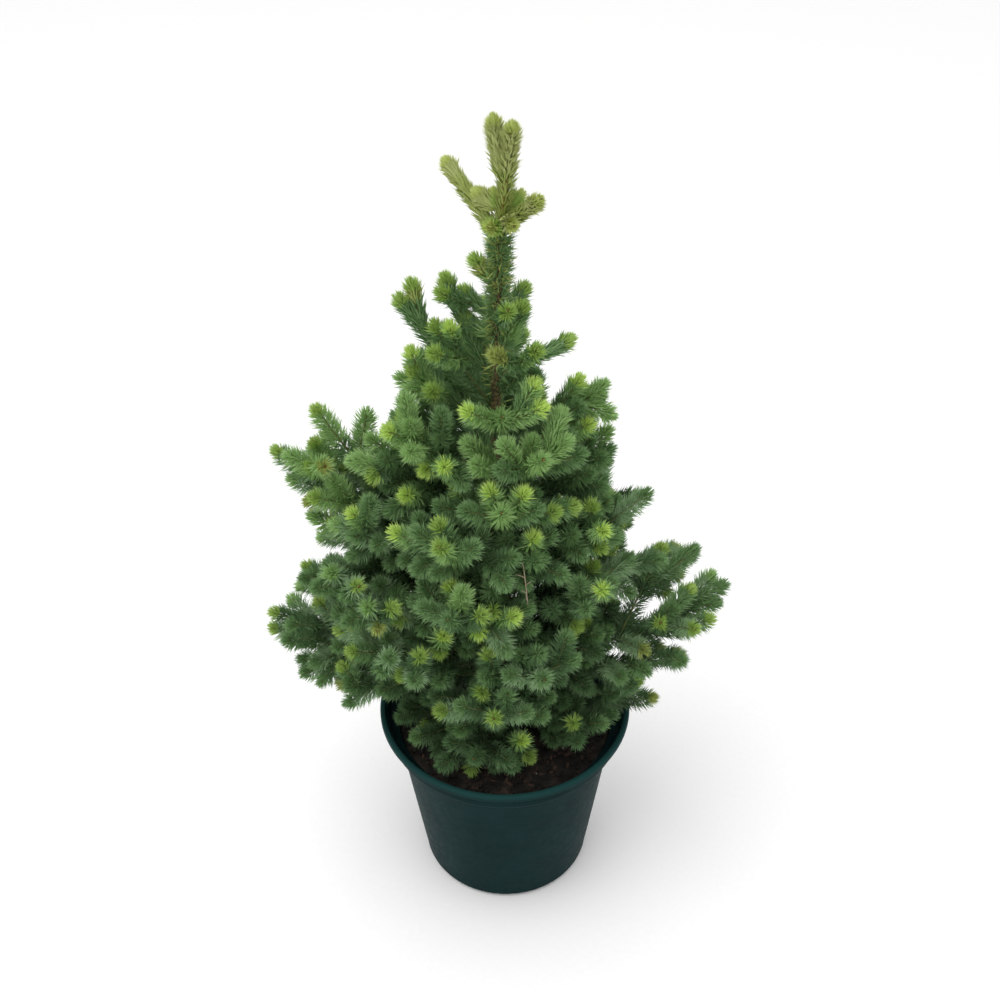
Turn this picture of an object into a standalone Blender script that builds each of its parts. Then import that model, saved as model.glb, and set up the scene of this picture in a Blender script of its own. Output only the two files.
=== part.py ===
"""A young Norway spruce in a tapered plastic nursery pot, in metres with +Z up.

The pot stands on its flat underside with the origin at the centre of that underside.
The trunk rises out of the potting soil. Boughs leave it in whorls, one above the other,
and each carries one mass of foliage: a stem with side shoots, each shoot a slim core
with large needles standing out of it. Neighbouring solids keep a gap of 0.3 mm.
"""
import random
from math import atan2, cos, pi, radians, sin

import bmesh
import bpy
from mathutils import Vector
from mathutils.geometry import intersect_point_line

GAP = 0.0003
UP = Vector((0, 0, 1))
SHARP_ANGLE = 60

# Pot, with heights measured from its underside
POT_HEIGHT = 0.230
LIP_RADIUS = 0.140
LIP_HEIGHT = 0.008
LIP_WIDTH = 0.006
LIP_ROUNDING = 0.002
COLLAR_RADIUS = 0.1325
COLLAR_FOOT = 0.204
SHOULDER = 0.003
WALL_TOP_RADIUS = 0.1225
WALL_FOOT_RADIUS = 0.095
FOOT_ROUNDING = 0.009
WALL = 0.0026
POT_STEPS = 32
DRAIN_HOLES = 6
DRAIN_RING_RADIUS = 0.058
DRAIN_RADIUS = 0.007

# Soil, a low mound that is flat round the trunk
SOIL_TOP = POT_HEIGHT - 0.026
SOIL_RISE = 0.006
SOIL_FLAT_RADIUS = 0.030
SOIL_SLOPE_RADIUS = 0.075
SOIL_EDGE_WIDTH = 0.010
SOIL_EDGE_DROP = 0.003

# Trunk, with heights measured from the pot's rim
GROUND = SOIL_TOP + SOIL_RISE - POT_HEIGHT
TRUNK_TOP = 0.578
TRUNK_SWAY = 0.007
TRUNK_SIDE_SWAY = 0.002
TRUNK_FOOT_RADIUS = 0.0115
TRUNK_TOP_RADIUS = 0.0030
TRUNK_TAPER = 0.8
FLARE = 0.007
FLARE_HEIGHT = 0.022
FLARE_LOBES = 5
FLARE_LOBE_SHARE = 0.28
TRUNK_SIDES = 15
TRUNK_RINGS = 22

# Whorls from the lowest up: height above the rim, bearing of the first bough in
# degrees (0 to the right, 90 to the back), reaches going round, rise for each
# metre of reach, and how far the bough hangs below the straight line to its tip.
WHORLS = (
    (0.000, 254, (0.122, 0.128, 0.130, 0.140, 0.145), 0.30, 0.10),
    (0.048, 180, (0.242, 0.148, 0.125, 0.150), 0.54, 0.10),
    (0.096, 358, (0.236, 0.155, 0.160, 0.180, 0.150), 0.54, 0.10),
    (0.157, 181, (0.197, 0.150, 0.155, 0.166, 0.150), 0.66, 0.10),
    (0.217, 161, (0.194, 0.140, 0.148, 0.135), 0.84, 0.10),
    (0.276, 183, (0.120, 0.115, 0.112, 0.112), 0.75, 0.08),
    (0.330, 205, (0.112, 0.108, 0.108, 0.104), 0.74, 0.08),
    (0.382, 185, (0.078, 0.085, 0.070, 0.080), 0.82, 0.06),
    (0.440, 182, (0.084, 0.076, 0.053), 0.86, 0.05),
    (0.494, 160, (0.052, 0.048, 0.036), 0.80, 0.04),
)
LIMBED_WHORLS = 3
BEARING_JITTER = 5
HANG_SHARE = 0.5
FLAT_REACH = 0.150
FLAT_STEEPNESS = 0.10
WIDE_REACH = 0.19

# Boughs and the shoots on them
BARE_SHARE = 0.26
LIMB_RADIUS = 0.0048
LIMB_SIDES = 6
LIMB_RINGS = 4
STEM_RADIUS = 0.0034
SIDE_RADIUS = 0.0028
TIP_RADIUS = 0.0016
YEAR_GROWTH = 0.043
YEAR_VARIATION = (0.9, 1.1)
LAST_YEAR_VARIATION = (0.85, 1.05)
LOWEST_SIDE = 0.022
LOWEST_SIDE_PAST_LIMB = 0.008
SIDE_ANGLE = 47
SIDE_ANGLE_JITTER = 7
SIDE_SHARE = 0.62
SIDE_EXTRA = 0.022
SIDE_VARIATION = (0.86, 1.08)
SIDE_HANG = 0.04
SIDE_LONGEST = 0.085
WIDE_SIDE_SHARE = 0.80
WIDE_SIDE_LONGEST = 0.128
SHORTEST_SHOOT = 0.026
SIDE_TILT = (0.0, 0.28)
WIDE_SIDE_TILT = (-0.04, 0.14)
LEAST_SPACING = 0.020
SHORTENINGS = (1.0, 0.82, 0.66)

# Needles
NEEDLE_REACH = 0.0160
NEEDLE_LEAN = 0.0110
NEEDLE_VARIATION = (0.85, 1.0)
SHOOT_SIDES = 4
NEEDLE_SPACING = 0.0150
TWIST = 0.45
NEEDLE_TAPER = 0.25
SHORTEST_NEEDLE = 0.15
CELL_MARGIN = 0.0010
KEPT_SHARE = 0.50
ROOT_KEPT = 0.006

# Leader, the trunk's last year of growth
LEADER_TIP = Vector((0.009, -0.006, 0.678))
TWIN_TIP = Vector((-0.008, 0.004, 0.685))
TWIN_ROOT = 0.618
CROWN_WHORL = 0.600
CROWN_SHOOTS = ((145, 0.056, 0.040), (325, 0.036, 0.028), (238, 0.030, 0.004), (60, 0.036, 0.034))
SLEEVE_FOOT = 0.517
SLEEVE_RADIUS = 0.0055
SLEEVE_SIDES = 6
SLEEVE_NEEDLE_SHARE = 0.75
SLEEVE_OVERCUT = 0.02
LEADER_SEED = 77


def clear_scene():
    for item in list(bpy.data.objects):
        bpy.data.objects.remove(item, do_unlink=True)


def new_collection(name):
    collection = bpy.data.collections.new(name)
    bpy.context.scene.collection.children.link(collection)
    return collection


def plain_material(name, colour, roughness):
    material = bpy.data.materials.new(name)
    material.use_nodes = True
    shader = material.node_tree.nodes["Principled BSDF"]
    shader.inputs["Base Color"].default_value = (*colour, 1.0)
    shader.inputs["Roughness"].default_value = roughness
    shader.inputs["Metallic"].default_value = 0.0
    return material


def add_object(name, mesh, material, collection):
    item = bpy.data.objects.new(name, mesh)
    if material:
        mesh.materials.append(material)
    collection.objects.link(item)
    return item


def mesh_from(bm, name):
    mesh = bpy.data.meshes.new(name)
    bm.to_mesh(mesh)
    bm.free()
    return mesh


def smooth_mesh_from(bm, name):
    """A round limb's mesh, shaded smooth except at the rim of its flat ends."""
    mesh = mesh_from(bm, name)
    mesh.shade_smooth()
    mesh.set_sharp_from_angle(angle=radians(SHARP_ANGLE))
    return mesh


# Pot and soil
def turned(name, profile, material, collection):
    """A profile of radius and height, turned round the pot's axis."""
    bm = bmesh.new()
    verts = [bm.verts.new((radius, 0, height)) for radius, height in profile]
    for start, end in zip(verts, verts[1:]):
        bm.edges.new((start, end))
    item = add_object(name, mesh_from(bm, name), material, collection)
    screw = item.modifiers.new("turn", 'SCREW')
    screw.steps = POT_STEPS
    screw.render_steps = POT_STEPS
    screw.use_smooth_shade = True
    screw.use_merge_vertices = True
    screw.merge_threshold = 0.00001
    return item


def wall_radius(height):
    """Outer radius of the pot's wall below its collar."""
    return WALL_FOOT_RADIUS + (WALL_TOP_RADIUS - WALL_FOOT_RADIUS) * height / COLLAR_FOOT


def inner_radius(height):
    """Inner radius of the pot between its rounded foot and its shoulder."""
    foot = wall_radius(FOOT_ROUNDING)
    share = (height - FOOT_ROUNDING) / (COLLAR_FOOT + SHOULDER - FOOT_ROUNDING)
    return foot + (wall_radius(COLLAR_FOOT) - foot) * share - WALL


def make_pot(collection, cutters):
    lip_foot = POT_HEIGHT - LIP_HEIGHT
    lip_inside = LIP_RADIUS - LIP_WIDTH
    profile = [
        (0, WALL),
        (wall_radius(0) - WALL - FOOT_ROUNDING / 2, WALL),
        (inner_radius(FOOT_ROUNDING), FOOT_ROUNDING),
        (inner_radius(COLLAR_FOOT + SHOULDER), COLLAR_FOOT + SHOULDER),
        (COLLAR_RADIUS - WALL, COLLAR_FOOT + SHOULDER + WALL),
        (COLLAR_RADIUS - WALL, lip_foot + SHOULDER),
        (lip_inside, POT_HEIGHT - LIP_ROUNDING / 2),
        (lip_inside + LIP_ROUNDING, POT_HEIGHT),
        (LIP_RADIUS - LIP_ROUNDING, POT_HEIGHT),
        (LIP_RADIUS, POT_HEIGHT - LIP_ROUNDING),
        (LIP_RADIUS, lip_foot + LIP_ROUNDING / 2),
        (LIP_RADIUS - LIP_ROUNDING, lip_foot),
        (COLLAR_RADIUS, lip_foot - LIP_ROUNDING / 4),
        (COLLAR_RADIUS, COLLAR_FOOT + LIP_ROUNDING),
        (COLLAR_RADIUS - LIP_ROUNDING, COLLAR_FOOT),
        (wall_radius(COLLAR_FOOT), COLLAR_FOOT - SHOULDER),
        (wall_radius(FOOT_ROUNDING), FOOT_ROUNDING),
    ]
    for step in (1, 2, 3):
        angle = step * pi / 6
        radius = wall_radius(FOOT_ROUNDING) - FOOT_ROUNDING * (1 - cos(angle))
        profile.append((radius, FOOT_ROUNDING * (1 - sin(angle))))
    profile.append((0, 0))
    plastic = plain_material("blue_green_plastic", (0.010, 0.030, 0.032), 0.45)
    pot = turned("pot", profile, plastic, collection)
    drill = bmesh.new()
    for hole in range(DRAIN_HOLES):
        angle = 2 * pi * hole / DRAIN_HOLES
        made = bmesh.ops.create_cone(drill, cap_ends=True, segments=10, radius1=DRAIN_RADIUS,
                                     radius2=DRAIN_RADIUS, depth=4 * WALL)
        offset = Vector((DRAIN_RING_RADIUS * cos(angle), DRAIN_RING_RADIUS * sin(angle), WALL / 2))
        bmesh.ops.translate(drill, verts=made["verts"], vec=offset)
    cutter = add_object("drain_holes", mesh_from(drill, "drain_holes"), None, cutters)
    cutter.hide_render = True
    cutter.display_type = 'WIRE'
    cut = pot.modifiers.new("drain", 'BOOLEAN')
    cut.operation = 'DIFFERENCE'
    cut.object = cutter


def make_soil(collection):
    foot = WALL + GAP
    rise = SOIL_TOP + SOIL_RISE
    edge = SOIL_TOP - SOIL_EDGE_DROP
    bend = FOOT_ROUNDING + GAP
    profile = [
        (0, rise),
        (SOIL_FLAT_RADIUS, rise),
        (SOIL_SLOPE_RADIUS, (SOIL_TOP + rise) / 2),
        (inner_radius(edge) - SOIL_EDGE_WIDTH, SOIL_TOP - SOIL_EDGE_DROP / 3),
        (inner_radius(edge) - 2 * GAP, edge),
        (inner_radius(bend) - 2 * GAP, bend),
        (wall_radius(0) - WALL - FOOT_ROUNDING / 2 - 2 * GAP, foot),
        (0, foot),
    ]
    turned("soil", profile, plain_material("potting_soil", (0.018, 0.014, 0.011), 0.95), collection)


# Round limbs
def swept(path, radius, sides, rings, twist=0.0):
    """A closed round limb: a cylinder cut into rings that are set along a path.

    path and radius are functions of 0 at the root to 1 at the tip. Returns the mesh and
    each vertex's place along the limb, its direction out of the axis and the axis there.
    """
    bm = bmesh.new()
    bmesh.ops.create_cone(bm, cap_ends=True, segments=sides, radius1=1, radius2=1, depth=1)
    upright = [edge for edge in bm.edges if abs(edge.verts[0].co.z - edge.verts[1].co.z) > 0.5]
    bmesh.ops.subdivide_edges(bm, edges=upright, cuts=rings - 2)
    spots = {}
    for vert in bm.verts:
        along = vert.co.z + 0.5
        centre = path(along)
        tangent = (path(min(along + 0.01, 1)) - path(max(along - 0.01, 0))).normalized()
        turn = tangent.to_track_quat('Z', 'Y')
        angle = atan2(vert.co.y, vert.co.x) + twist * along * (rings - 1)
        outward = turn @ Vector((cos(angle), sin(angle), 0))
        vert.co = centre + outward * radius(along, angle)
        spots[vert] = (along, outward, tangent)
    return bm, spots


def mitre(spots, axis_point, heading, clear_radius):
    """Cut a limb's root square to the trunk, clear of it by the gap."""
    for vert, (along, outward, tangent) in spots.items():
        if along < 0.001:
            away = (vert.co - axis_point).dot(heading)
            vert.co += tangent * ((clear_radius + GAP - away) / tangent.dot(heading))


# Trunk
def trunk_centre(height):
    """The trunk's axis at a height above the rim, with its slight sway."""
    share = (height - GROUND) / (TRUNK_TOP - GROUND)
    sway = -TRUNK_SWAY * sin(pi * share)
    return Vector((sway, TRUNK_SIDE_SWAY * sin(2 * pi * share), POT_HEIGHT + height))


def trunk_radius(height, angle=0):
    """The trunk's radius, with the lobes of its root flare in the direction of an angle."""
    share = max(height - GROUND, 0) / (TRUNK_TOP - GROUND)
    radius = TRUNK_FOOT_RADIUS + (TRUNK_TOP_RADIUS - TRUNK_FOOT_RADIUS) * share ** TRUNK_TAPER
    flare = FLARE * max(1 - (height - GROUND) / FLARE_HEIGHT, 0) ** 2
    return radius + flare * (1 - FLARE_LOBE_SHARE * (1 - cos(FLARE_LOBES * angle)))


def make_trunk(collection, bark):
    foot = GROUND + GAP

    def height_at(along):
        return foot + (TRUNK_TOP - foot) * along ** 1.5

    bm, spots = swept(lambda along: trunk_centre(height_at(along)),
                      lambda along, angle: trunk_radius(height_at(along), angle),
                      TRUNK_SIDES, TRUNK_RINGS)
    for vert, (along, outward, tangent) in spots.items():
        if along == 0:
            vert.co.z = POT_HEIGHT + foot
    add_object("trunk", smooth_mesh_from(bm, "trunk"), bark, collection)


# Boughs
class Shoot:
    """A length of twig from its root to its tip, hanging a little between them.

    Its needles and its solid begin at a share of the length, past a limb's bare foot.
    """

    def __init__(self, root, tip, sag=0.0, start=0.0, thick=STEM_RADIUS):
        self.root = root
        self.tip = tip
        self.sag = sag
        self.start = start
        self.thick = thick
        self.bones = (self.point(start), self.point((1 + start) / 2), tip)

    def point(self, share):
        hang = self.sag * 4 * share * (1 - share)
        return self.root.lerp(self.tip, share) - UP * hang

    def heading(self, share):
        return (self.point(min(share + 0.02, 1)) - self.point(max(share - 0.02, 0))).normalized()

    def length(self):
        return (self.tip - self.root).length


def bough_rows():
    """Every bough of the whorls, as its name, whorl number and main shoot."""
    rows = []
    for number, (height, first, reaches, steepness, hang) in enumerate(WHORLS, start=1):
        for place, reach in enumerate(reaches):
            dice = random.Random(number * 10 + place)
            bearing = radians(first + 360 * place / len(reaches) + dice.uniform(-1, 1) * BEARING_JITTER)
            heading = Vector((cos(bearing), sin(bearing), 0))
            centre = trunk_centre(height)
            root = centre + heading * (trunk_radius(height - LIMB_RADIUS) + GAP)
            rise = steepness * min(reach, FLAT_REACH) + FLAT_STEEPNESS * max(reach - FLAT_REACH, 0)
            tip = centre + heading * reach + UP * rise
            start = BARE_SHARE if number <= LIMBED_WHORLS else 0.0
            shoot = Shoot(root, tip, hang * reach * HANG_SHARE, start)
            rows.append((f"{number}{'abcde'[place]}", number, shoot, heading, dice))
    return rows


def side_shoots(main, wide, dice):
    """Pairs of shoots that leave the main one at each year's growth, in its own flat fan."""
    share_of_rest = WIDE_SIDE_SHARE if wide else SIDE_SHARE
    longest = WIDE_SIDE_LONGEST if wide else SIDE_LONGEST
    length = main.length()
    found = []
    lowest = max(main.start * length + LOWEST_SIDE_PAST_LIMB, LOWEST_SIDE)
    rest = YEAR_GROWTH * dice.uniform(*LAST_YEAR_VARIATION)
    while length - rest > lowest:
        share = 1 - rest / length
        root = main.point(share)
        tangent = main.heading(share)
        aside = tangent.cross(UP).normalized()
        lift = aside.cross(tangent)
        for side in (-1, 1):
            angle = radians(SIDE_ANGLE + dice.uniform(-SIDE_ANGLE_JITTER, SIDE_ANGLE_JITTER))
            tilt = dice.uniform(*(WIDE_SIDE_TILT if wide else SIDE_TILT))
            reach = min(share_of_rest * rest + SIDE_EXTRA, longest) * dice.uniform(*SIDE_VARIATION)
            heading = (tangent * cos(angle) + aside * side * sin(angle) + lift * tilt).normalized()
            tip = root + heading * reach
            found.append(Shoot(root, tip, sag=reach * SIDE_HANG, thick=SIDE_RADIUS))
        rest += YEAR_GROWTH * dice.uniform(*YEAR_VARIATION)
    return found


# Keeping the masses apart
def on_line(spot, start, end):
    """The point of a straight piece that lies nearest to a spot."""
    share = intersect_point_line(spot, start, end)[1]
    return start.lerp(end, min(max(share, 0), 1))


def distance_to(shoot, spot):
    """The distance of a spot from a shoot's axis, taken as two straight pieces."""
    pieces = zip(shoot.bones, shoot.bones[1:])
    return min((spot - on_line(spot, start, end)).length for start, end in pieces)


def nearest(first, second):
    """The least distance between the axes of two shoots."""
    least = 1.0
    for one, other in ((first, second), (second, first)):
        for start, end in zip(one.bones, one.bones[1:]):
            for step in range(7):
                least = min(least, distance_to(other, start.lerp(end, step / 6)))
    return least


def trunk_clearance(shoot):
    """How far a shoot's axis stays from the trunk's bark."""
    least = 1.0
    for step in range(1, 11):
        spot = shoot.point(step / 10)
        height = min(max(spot.z - POT_HEIGHT, GROUND), TRUNK_TOP)
        least = min(least, (spot - trunk_centre(height)).length - trunk_radius(height))
    return least


def has_room(trial, strangers):
    """Whether a side shoot is worth growing and stays clear of trunk and other masses."""
    if trial.length() < SHORTEST_SHOOT or trunk_clearance(trial) < NEEDLE_REACH:
        return False
    return min(nearest(trial, other) for other in strangers) > LEAST_SPACING


# Needles
def stays_home(spot, shoot, others):
    """Whether a spot lies nearer to its own shoot than to every other one."""
    limit = distance_to(shoot, spot) + CELL_MARGIN
    return all(distance_to(other, spot) > limit for other in others)


def fitting_needle(base, needle, shoot, others):
    """A needle cut shorter until it stays on its own shoot's side."""
    size = 1.0
    while size > SHORTEST_NEEDLE:
        if all(stays_home(base + needle * size * part, shoot, others) for part in (0.6, 1.0)):
            break
        size *= 0.8
    return needle * size


def needled(shoot, dice, every_shoot, root_plane=None):
    """A shoot's slim core with a large needle standing on each of its faces."""
    begin = shoot.start
    length = shoot.length() * (1 - begin)
    rings = max(round(length / NEEDLE_SPACING), 3) + 1

    def path(along):
        return shoot.point(begin + (1 - begin) * along)

    def radius(along, angle):
        return TIP_RADIUS + (shoot.thick - TIP_RADIUS) * (1 - along)

    bm, spots = swept(path, radius, SHOOT_SIDES, rings, TWIST)
    if root_plane:
        mitre(spots, *root_plane)
    near = [other for other in every_shoot if other is not shoot
            and distance_to(other, path(0.5)) < length / 2 + 3 * NEEDLE_REACH]
    tip_cap = [face for face in bm.faces if all(spots[vert][0] > 0.999 for vert in face.verts)]
    root_cap = [face for face in bm.faces if all(spots[vert][0] < 0.001 for vert in face.verts)]
    sides = [face for face in bm.faces if face not in tip_cap + root_cap]
    for vert in bmesh.ops.poke(bm, faces=sides)["verts"]:
        along = min(max((vert.co - path(0)).length / length, 0), 1)
        outward = (vert.co - path(along)).normalized() * (1 - NEEDLE_TAPER * along ** 4)
        forward = shoot.heading(begin + (1 - begin) * along)
        needle = (outward * NEEDLE_REACH + forward * NEEDLE_LEAN) * dice.uniform(*NEEDLE_VARIATION)
        vert.co += fitting_needle(vert.co, needle, shoot, near)
    for vert in bmesh.ops.poke(bm, faces=tip_cap)["verts"]:
        vert.co += shoot.heading(1) * NEEDLE_LEAN
    return mesh_from(bm, "shoot")


def largest_body(mesh):
    """Drop the loose scraps and sealed hollows that a union can leave."""
    bm = bmesh.new()
    bm.from_mesh(mesh)
    left = set(bm.verts)
    bodies = []
    while left:
        body = {left.pop()}
        growing = list(body)
        while growing:
            vert = growing.pop()
            for edge in vert.link_edges:
                other = edge.other_vert(vert)
                if other not in body:
                    body.add(other)
                    growing.append(other)
        left -= body
        bodies.append(body)
    bodies.sort(key=len)
    scraps = [vert for body in bodies[:-1] for vert in body]
    bmesh.ops.delete(bm, geom=scraps, context='VERTS')
    bmesh.ops.triangulate(bm, faces=list(bm.faces))
    bm.to_mesh(mesh)
    bm.free()


def join_mass(name, meshes, root, material, collection):
    """Fuse a mass's shoots into one closed solid, and thin the small faces where they join."""
    item = add_object(name, meshes[0], material, collection)
    if len(meshes) > 1:
        joined = new_collection(name + "_shoots")
        for number, mesh in enumerate(meshes[1:]):
            add_object(f"{name}_shoot_{number}", mesh, None, joined)
        union = item.modifiers.new("join", 'BOOLEAN')
        union.operation = 'UNION'
        union.operand_type = 'COLLECTION'
        union.collection = joined
        union.solver = 'MANIFOLD'
        bpy.context.view_layer.update()
        depsgraph = bpy.context.evaluated_depsgraph_get()
        whole = bpy.data.meshes.new_from_object(item.evaluated_get(depsgraph))
        item.modifiers.clear()
        item.data = whole
        for shoot in list(joined.objects):
            bpy.data.objects.remove(shoot, do_unlink=True)
        bpy.data.collections.remove(joined)
    largest_body(item.data)
    thinned = item.vertex_groups.new(name="thinned")
    for vert in item.data.vertices:
        if (vert.co - root).length > ROOT_KEPT:
            thinned.add([vert.index], 1.0, 'REPLACE')
    thin = item.modifiers.new("thin", 'DECIMATE')
    thin.ratio = KEPT_SHARE
    thin.vertex_group = thinned.name


def make_limb(name, shoot, heading, bark, collection):
    """The bare tapering foot of a bough, from the trunk to its mass of foliage."""
    height = shoot.root.z - POT_HEIGHT
    bm, spots = swept(lambda along: shoot.point(shoot.start * along),
                      lambda along, angle: LIMB_RADIUS + (shoot.thick - LIMB_RADIUS) * along,
                      LIMB_SIDES, LIMB_RINGS)
    mitre(spots, trunk_centre(height), heading, trunk_radius(height - LIMB_RADIUS))
    add_object(name, smooth_mesh_from(bm, name), bark, collection)


# Leader
def leader_shoots():
    """The top of the tree: a twin-tipped leader and the last whorl's short shoots."""
    rim = Vector((0, 0, POT_HEIGHT))
    leader = Shoot(trunk_centre(TRUNK_TOP) + UP * GAP, rim + LEADER_TIP, thick=TRUNK_TOP_RADIUS)
    rise = LEADER_TIP.z - TRUNK_TOP
    fork = leader.point((TWIN_ROOT - TRUNK_TOP) / rise)
    whorl = leader.point((CROWN_WHORL - TRUNK_TOP) / rise)
    shoots = [leader, Shoot(fork, rim + TWIN_TIP, thick=SIDE_RADIUS)]
    for bearing, reach, lift in CROWN_SHOOTS:
        angle = radians(bearing)
        tip = whorl + Vector((reach * cos(angle), reach * sin(angle), lift))
        shoots.append(Shoot(whorl, tip, thick=SIDE_RADIUS))
    return shoots


def make_sleeve(material, collection, cutters):
    """The needles that stand round the top of the trunk, as a ring clear of its bark."""
    axis = Shoot(trunk_centre(SLEEVE_FOOT), trunk_centre(TRUNK_TOP - 2 * GAP), thick=SLEEVE_RADIUS)
    rings = round(axis.length() / NEEDLE_SPACING) + 1
    bm, spots = swept(axis.point, lambda along, angle: SLEEVE_RADIUS, SLEEVE_SIDES, rings, TWIST)
    sides = [face for face in bm.faces if len(face.verts) == 4]
    for vert in bmesh.ops.poke(bm, faces=sides)["verts"]:
        share = min(max((vert.co.z - axis.root.z) / axis.length(), 0), 1)
        outward = (vert.co - axis.point(share)).normalized()
        vert.co += (outward * NEEDLE_REACH + UP * NEEDLE_LEAN) * SLEEVE_NEEDLE_SHARE
    sleeve = add_object("foliage_sleeve", mesh_from(bm, "foliage_sleeve"), material, collection)
    foot = SLEEVE_FOOT - SLEEVE_OVERCUT
    length = TRUNK_TOP + SLEEVE_OVERCUT - foot
    hole, spots = swept(lambda along: trunk_centre(foot + length * along),
                        lambda along, angle: trunk_radius(SLEEVE_FOOT) + GAP, TRUNK_SIDES, LIMB_RINGS)
    cutter = add_object("trunk_hole", mesh_from(hole, "trunk_hole"), None, cutters)
    cutter.hide_render = True
    cutter.display_type = 'WIRE'
    cut = sleeve.modifiers.new("hole", 'BOOLEAN')
    cut.operation = 'DIFFERENCE'
    cut.object = cutter


# Tree
def grow_masses(rows):
    """Each mass's shoots: its main one, and the side shoots that find room."""
    masses = {name: [main] for name, number, main, heading, dice in rows}
    masses["leader"] = leader_shoots()
    for name, number, main, heading, dice in sorted(rows, key=lambda row: -row[2].length()):
        for side in side_shoots(main, main.length() > WIDE_REACH, dice):
            strangers = [shoot for owner in masses if owner != name for shoot in masses[owner]]
            for share in SHORTENINGS:
                tip = side.root.lerp(side.tip, share)
                trial = Shoot(side.root, tip, side.sag * share, thick=side.thick)
                if has_room(trial, strangers):
                    masses[name].append(trial)
                    break
    return masses


def make_tree(collection, cutters):
    bark = plain_material("spruce_bark", (0.105, 0.085, 0.045), 0.85)
    green = plain_material("spruce_needles", (0.040, 0.090, 0.030), 0.55)
    fresh = plain_material("young_needles", (0.160, 0.220, 0.060), 0.55)
    make_trunk(collection, bark)
    rows = bough_rows()
    masses = grow_masses(rows)
    every_shoot = [shoot for shoots in masses.values() for shoot in shoots]
    for name, number, main, heading, dice in rows:
        plane = None
        if number <= LIMBED_WHORLS:
            make_limb("bough_" + name, main, heading, bark, collection)
            main.start += GAP / main.length()
        else:
            height = main.root.z - POT_HEIGHT
            plane = (trunk_centre(height), heading, trunk_radius(height - STEM_RADIUS))
        meshes = [needled(main, dice, every_shoot, plane)]
        meshes += [needled(shoot, dice, every_shoot) for shoot in masses[name][1:]]
        join_mass("foliage_" + name, meshes, main.point(main.start), green, collection)
    dice = random.Random(LEADER_SEED)
    meshes = [needled(shoot, dice, every_shoot) for shoot in masses["leader"]]
    join_mass("foliage_leader", meshes, masses["leader"][0].root, fresh, collection)
    make_sleeve(green, collection, cutters)


def build():
    clear_scene()
    spruce = new_collection("potted_norway_spruce")
    cutters = new_collection("cutters")
    make_pot(spruce, cutters)
    make_soil(spruce)
    make_tree(spruce, cutters)


build()
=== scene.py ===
"""A young Norway spruce in a tapered nursery pot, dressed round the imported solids.

Metres, +Z up, with the origin at the centre of the pot's underside. The pot and the
potting soil come first, then the trunk, the boughs, their twigs, the needles and buds.
"""
import random
from math import atan2, cos, pi, radians, sin

import bpy
import numpy as np
from mathutils import Euler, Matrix, Quaternion, Vector, noise
from mathutils.geometry import intersect_point_line


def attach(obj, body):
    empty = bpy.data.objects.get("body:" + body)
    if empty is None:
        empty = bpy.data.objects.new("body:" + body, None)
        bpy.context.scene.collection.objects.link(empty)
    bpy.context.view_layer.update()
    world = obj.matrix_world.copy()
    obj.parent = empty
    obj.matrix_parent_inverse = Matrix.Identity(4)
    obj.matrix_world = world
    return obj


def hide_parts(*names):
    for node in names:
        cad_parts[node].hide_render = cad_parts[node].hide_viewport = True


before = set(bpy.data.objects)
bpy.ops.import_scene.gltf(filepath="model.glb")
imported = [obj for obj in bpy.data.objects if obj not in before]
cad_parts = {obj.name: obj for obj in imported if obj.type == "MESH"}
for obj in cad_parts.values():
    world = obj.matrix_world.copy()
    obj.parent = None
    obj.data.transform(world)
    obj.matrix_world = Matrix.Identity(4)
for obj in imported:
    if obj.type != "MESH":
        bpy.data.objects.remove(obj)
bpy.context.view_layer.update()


# Camera
# The viewer stands in front of the plant and looks down on it at 38 degrees, with the
# camera a little off level, as a hand holds it.
LENS = 50.4
SENSOR = 36.0
CAMERA_PLACE = (-0.0026, -1.098, 1.381)
CAMERA_PITCH = 38.2
CAMERA_ROLL = -0.7

camera_data = bpy.data.cameras.new("camera")
camera_data.lens = LENS
camera_data.sensor_width = SENSOR
camera_data.clip_start = 0.01
camera = bpy.data.objects.new("camera", camera_data)
bpy.context.scene.collection.objects.link(camera)
camera.location = CAMERA_PLACE
camera.rotation_mode = 'QUATERNION'
level_turn = Euler((radians(90 - CAMERA_PITCH), 0, 0)).to_quaternion()
camera.rotation_quaternion = level_turn @ Quaternion((0, 0, 1), radians(CAMERA_ROLL))
bpy.context.scene.camera = camera


# Studio
# A pale sheet of matt board under the pot, a wide soft light above it and a weaker one
# at the viewer's left, in an evenly lit white room.
FLOOR_SIZE = 24.0
BOARD_GRAIN_MM = 6.0
PANELS = (("sky_panel", (-0.7, -0.7, 3.6), 2.2, 44.0), ("side_panel", (-2.2, -1.0, 1.3), 1.4, 5.0))
PANELS_FACE = Vector((0, 0, 0.35))


def paint(code):
    """An sRGB hex colour as the linear values that a shader takes."""
    parts = [int(code[place:place + 2], 16) / 255 for place in (0, 2, 4)]
    linear = [part / 12.92 if part <= 0.04045 else ((part + 0.055) / 1.055) ** 2.4 for part in parts]
    return (*linear, 1.0)


def add_node(tree, kind, inputs=None, **settings):
    """A shader node with its settings, and with a value or a link for each named input."""
    node = tree.nodes.new(kind)
    for name, value in settings.items():
        setattr(node, name, value)
    for name, value in (inputs or {}).items():
        if isinstance(value, bpy.types.NodeSocket):
            tree.links.new(value, node.inputs[name])
        else:
            node.inputs[name].default_value = value
    return node


def new_finish(name, **values):
    """A material with its even values, its node tree, its shader and the place in the object."""
    material = bpy.data.materials.new(name)
    material.use_nodes = True
    tree = material.node_tree
    shader = tree.nodes["Principled BSDF"]
    for socket, value in values.items():
        shader.inputs[socket.replace("_", " ")].default_value = value
    return material, tree, shader, add_node(tree, "ShaderNodeTexCoord").outputs["Object"]


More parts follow.
